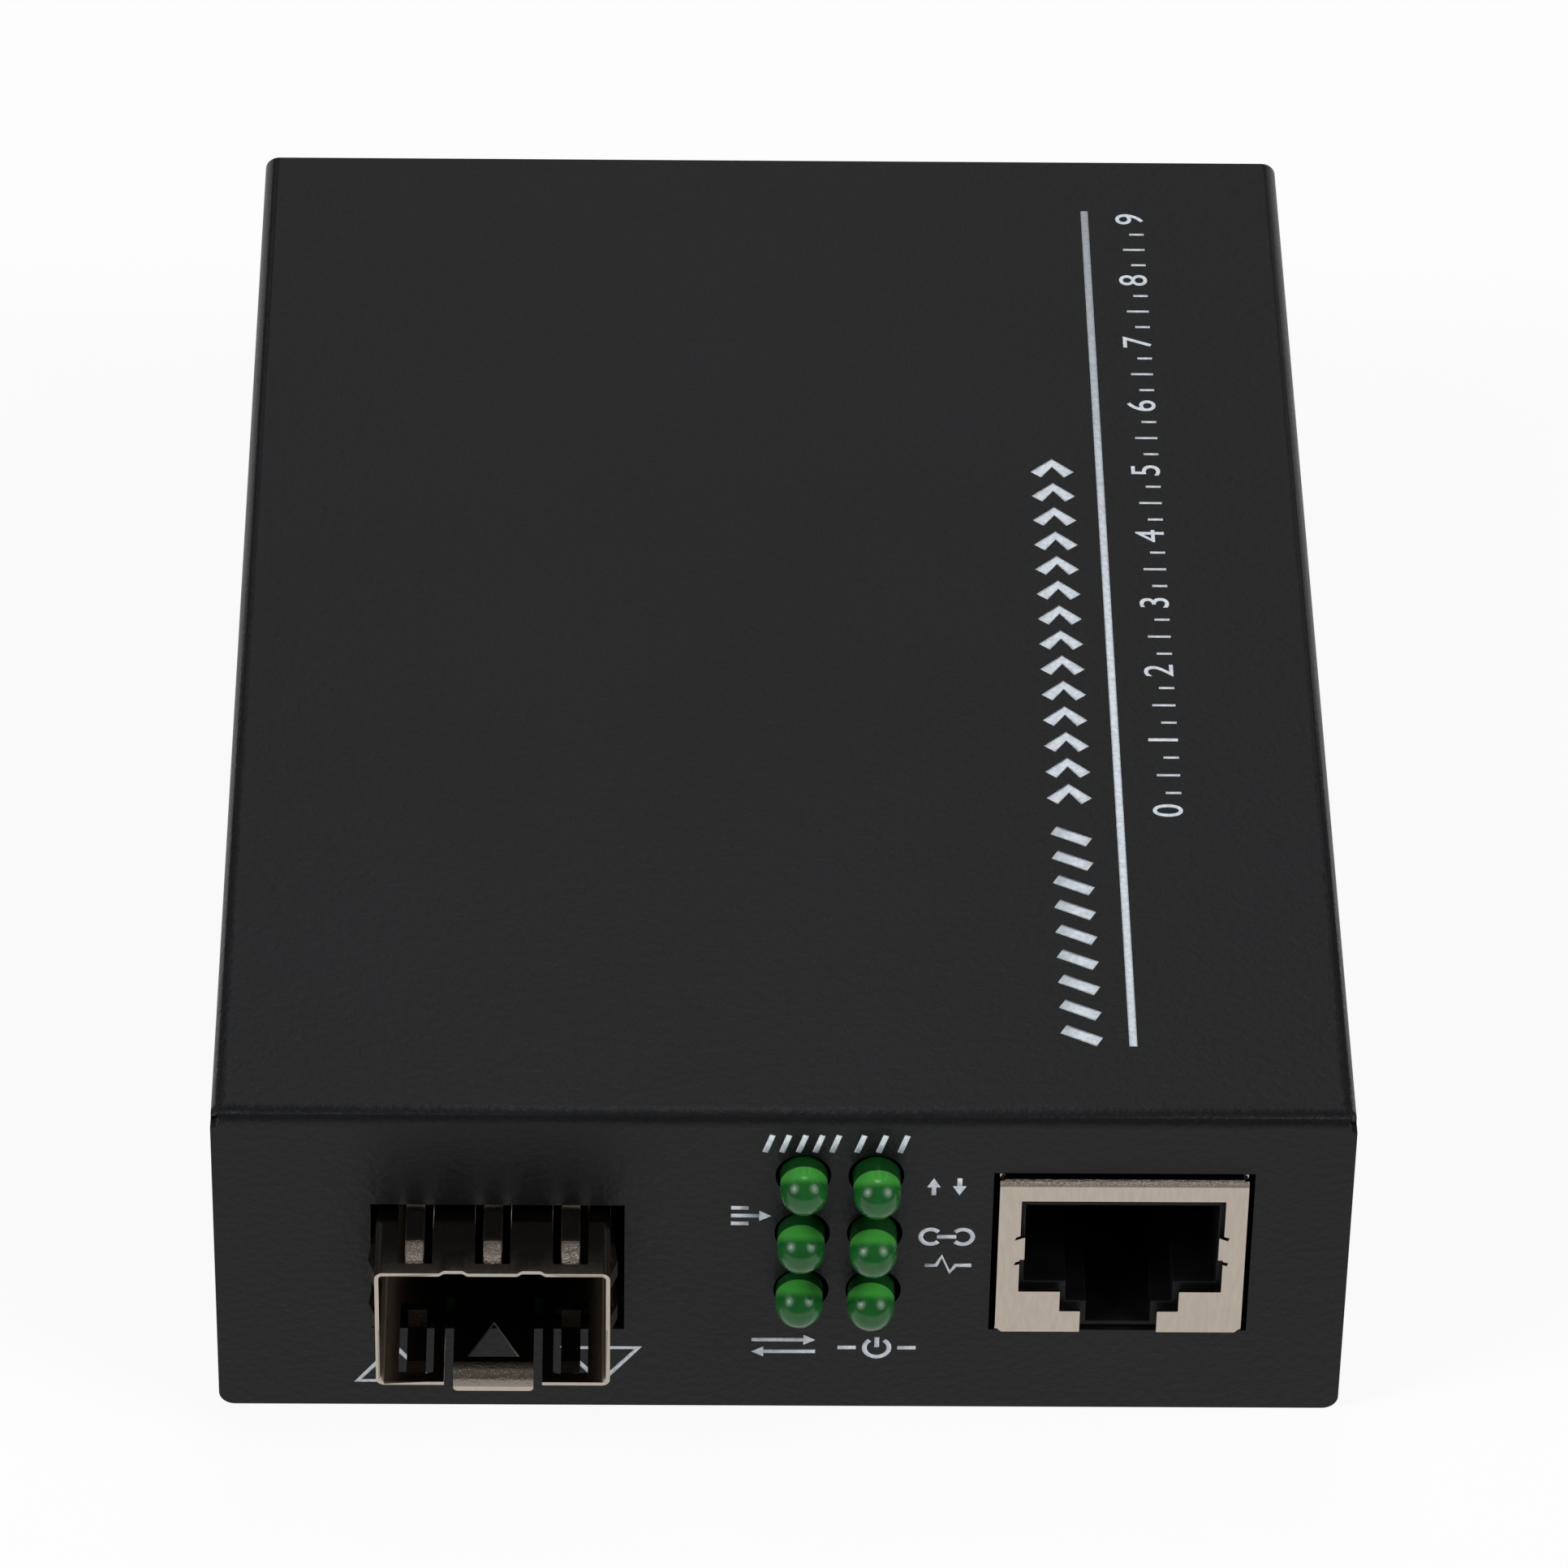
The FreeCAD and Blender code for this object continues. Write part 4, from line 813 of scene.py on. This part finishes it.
add_strokes(POWER, arc((0, 0), 0.78, 125, 415), [(0, 0.9), (0, 0.05)],
            [(-2.45, 0), (-1.3, 0)], [(1.3, 0), (2.45, 0)])
print_piece("light_signs", [pen(strokes, SIGN_PEN), filled(heads)], ON_FRONT)

# %% [markdown]
# ## Port signs
# The two big marks under the module port say which side sends and which receives. A triangle that
# points up and one that points down do the same job without letters.

# %% Big triangles under the module port
PORT_PEN = 0.55
HALF_BASE = 2.35


def triangle(across, base, tip):
    """A closed triangle with its base and its tip at the given heights."""
    return [(across - HALF_BASE, base), (across + HALF_BASE, base), (across, tip), True]


send_sign = triangle(-24.15, 2.05, 5.0)
receive_sign = triangle(-11.25, 4.95, 2.0)
print_piece("port_signs", [pen([send_sign, receive_sign], PORT_PEN)], ON_FRONT)

# %% [markdown]
# ## Rule and band on the roof
# A thin rule runs along the right of the roof. Left of it stands a bold band: slanted bars, and
# then chevrons that point along the case, the way data runs through it. Bars and chevrons are
# each one stroke, repeated at an even step.

# %% Rule and bold band
RULE_PEN, BAND_PEN = 0.5, 0.92
RULE_ACROSS, RULE_START, RULE_END = 21.67, -43.4, 44.2
BAND_LEFT, BAND_RIGHT = 17.4, 19.6
BARS_START, BAR_STEP, BAR_RISE = -43.0, 2.4, 1.2
CHEVRONS_START, CHEVRON_STEP, CHEVRON_RISE = -19.7, 2.62, 1.3


def even_steps(start, step, count):
    """Places at an even step, from start on."""
    return [start + step * number for number in range(count)]


rule = [(RULE_ACROSS, RULE_START), (RULE_ACROSS, RULE_END)]
print_piece("roof_rule", [pen([rule], RULE_PEN)], ON_TOP)
band_middle = (BAND_LEFT + BAND_RIGHT) / 2
bars = [[(BAND_RIGHT, along), (BAND_LEFT, along + BAR_RISE)]
        for along in even_steps(BARS_START, BAR_STEP, 9)]
chevrons = [[(BAND_LEFT, along), (band_middle, along + CHEVRON_RISE), (BAND_RIGHT, along)]
            for along in even_steps(CHEVRONS_START, CHEVRON_STEP, 14)]
print_piece("roof_band", [pen(bars + chevrons, BAND_PEN)], ON_TOP)

# %% [markdown]
# ## Scale on the roof
# Right of the rule runs a fine scale with the numerals 0 to 9, like the edge of a ruler. It reads
# from the right-hand side of the case. Each step has three ticks, the middle one longer.

# %% Fine scale with numerals
SCALE_PEN = 0.24
SCALE_LINE, SCALE_START, SCALE_STEP = 25.7, -20.6, 7.1
NUMERAL_HEIGHT = 1.9
SHORT_TICK, LONG_TICK = 1.0, 1.5


def numeral(text, place):
    """A numeral that reads from the right-hand side, centred on the place."""
    drawing = bpy.data.curves.new("numeral", "FONT")
    drawing.body = text
    drawing.size = 1
    drawing.align_x = "CENTER"
    drawing.extrude = INK_FILM
    mesh = mesh_of(drawing)
    tall = max(vertex.co.y for vertex in mesh.vertices)
    scale = NUMERAL_HEIGHT * MM / tall
    mesh.transform(Matrix.Translation((place[0] * MM, place[1] * MM, 0))
                   @ Matrix.Rotation(radians(90), 4, "Z") @ Matrix.Diagonal((scale, scale, 1, 1)))
    return mesh


places = even_steps(SCALE_START, SCALE_STEP, 10)
marks = [numeral(str(number), (SCALE_LINE, along)) for number, along in enumerate(places)]
ticks = [[(SCALE_LINE, along + SCALE_STEP * part / 4),
          (SCALE_LINE - length, along + SCALE_STEP * part / 4)] for along in places[:-1]
         for part, length in ((1, SHORT_TICK), (2, LONG_TICK), (3, SHORT_TICK))]
print_piece("roof_scale", marks + [pen(ticks, SCALE_PEN)], ON_TOP)

# %% [markdown]
# ## Studio
# The case stands on a pale floor under soft boxes: a wide one low behind it for the sheen of the
# roof, a small one above that, which the bent springs mirror, and a large one at each side in
# front, which is brighter in its middle, where its lamp is. The floor's own light reaches the
# front panel from below. The backdrop has to look white, so rays that come straight from the
# camera, or by way of metal or glass, see the floor mostly as plain white, while it still takes
# the shadow.

# %% Floor and surroundings
def soft_white(tree, shader_out, share):
    """Mixes plain white in for camera, glossy and transmission rays."""
    path = tree.nodes.new("ShaderNodeLightPath")
    either = path.outputs["Is Camera Ray"]
    for kind in ("Is Glossy Ray", "Is Transmission Ray"):
        highest = tree.nodes.new("ShaderNodeMath")
        highest.operation = "MAXIMUM"
        tree.links.new(either, highest.inputs[0])
        tree.links.new(path.outputs[kind], highest.inputs[1])
        either = highest.outputs["Value"]
    amount = tree.nodes.new("ShaderNodeMath")
    amount.operation = "MULTIPLY"
    amount.inputs[1].default_value = share
    tree.links.new(either, amount.inputs[0])
    white = tree.nodes.new("ShaderNodeEmission")
    white.inputs["Strength"].default_value = 1
    mix = tree.nodes.new("ShaderNodeMixShader")
    tree.links.new(amount.outputs["Value"], mix.inputs["Fac"])
    tree.links.new(shader_out, mix.inputs[1])
    tree.links.new(white.outputs["Emission"], mix.inputs[2])
    return mix.outputs["Shader"]


floor_shape = bmesh.new()
bmesh.ops.create_grid(floor_shape, x_segments=2, y_segments=2, size=3)
floor = object_from("floor", floor_shape)
floor_paint, tree, shader = new_finish("floor_paint")
shader.inputs["Base Color"].default_value = (0.85, 0.85, 0.85, 1)
shader.inputs["Roughness"].default_value = 0.9
shader.inputs["Specular IOR Level"].default_value = 0.0
surface = tree.nodes["Material Output"].inputs["Surface"]
WHITE_SHARE = 0.9
tree.links.new(soft_white(tree, shader.outputs["BSDF"], WHITE_SHARE), surface)
floor.data.materials.append(floor_paint)

world = bpy.data.worlds.new("studio_air")
bpy.context.scene.world = world
world.use_nodes = True
sky = world.node_tree.nodes["Background"]
sky.inputs["Color"].default_value = (1, 1, 1, 1)
sky.inputs["Strength"].default_value = 0.13
air_white = world.node_tree.nodes.new("ShaderNodeBackground")
path = world.node_tree.nodes.new("ShaderNodeLightPath")
air_mix = world.node_tree.nodes.new("ShaderNodeMixShader")
world.node_tree.links.new(path.outputs["Is Camera Ray"], air_mix.inputs["Fac"])
world.node_tree.links.new(sky.outputs["Background"], air_mix.inputs[1])
world.node_tree.links.new(air_white.outputs["Background"], air_mix.inputs[2])
world.node_tree.links.new(air_mix.outputs["Shader"],
                          world.node_tree.nodes["World Output"].inputs["Surface"])
print("floor and air ready")

# %% [markdown]
# ## Soft boxes
# A soft box is an area light. What counts for a mirrored look is how bright its face is, not its
# power, so the power is worked out from the brightness wanted and the size of the face. Each box
# is turned towards the middle of the scene, where the case stands.

# %% Soft boxes
def soft_box(name, place, size, radiance):
    """A round light at the place, turned to the object; power follows from its brightness."""
    light = bpy.data.lights.new(name, "AREA")
    light.shape = "DISK"
    light.size = size
    light.energy = radiance * pi * (pi * size * size / 4)
    lamp = bpy.data.objects.new(name, light)
    lamp.location = place
    lamp.rotation_euler = (-Vector(place)).to_track_quat("-Z", "Y").to_euler()
    bpy.context.scene.collection.objects.link(lamp)
    print(name, round(light.energy, 2), "W")


soft_box("back_box", (0, 1.05, 0.7), 0.8, 0.6)
soft_box("top_box", (0, 0.46, 0.98), 0.4, 4.0)
for side, across in (("left", -0.84), ("right", 0.84)):
    place = (across, -0.36, 0.66)
    soft_box(side + "_box", place, 0.9, 2.4)
    soft_box(side + "_core", place, 0.26, 22.0)

# %% [markdown]
# ## Camera
# The view is from in front and about forty degrees above, from about 0.6 metres away with a
# long lens, so that the sides run back with only a little perspective. The camera is turned
# first to its bearing and tilt, and then rolled by about a degree about its own axis.

# %% Camera
BEARING, DOWNWARD, ROLL = -0.02185, 0.69281, 0.01928
camera_data = bpy.data.cameras.new("camera")
camera_data.sensor_width = 36
camera_data.lens = 208.2
camera_data.clip_start = 0.01
camera = bpy.data.objects.new("camera", camera_data)
aim = Euler((pi / 2 - DOWNWARD, 0, BEARING)).to_matrix() @ Matrix.Rotation(ROLL, 3, "Z")
camera.matrix_world = Matrix.Translation((-9.5 * MM, -464.85 * MM, 395.39 * MM)) @ aim.to_4x4()
bpy.context.scene.collection.objects.link(camera)
bpy.context.scene.camera = camera
bpy.context.scene.view_settings.view_transform = "Standard"
print("camera stands", round(camera.location.length, 3), "m from the middle of the footprint")
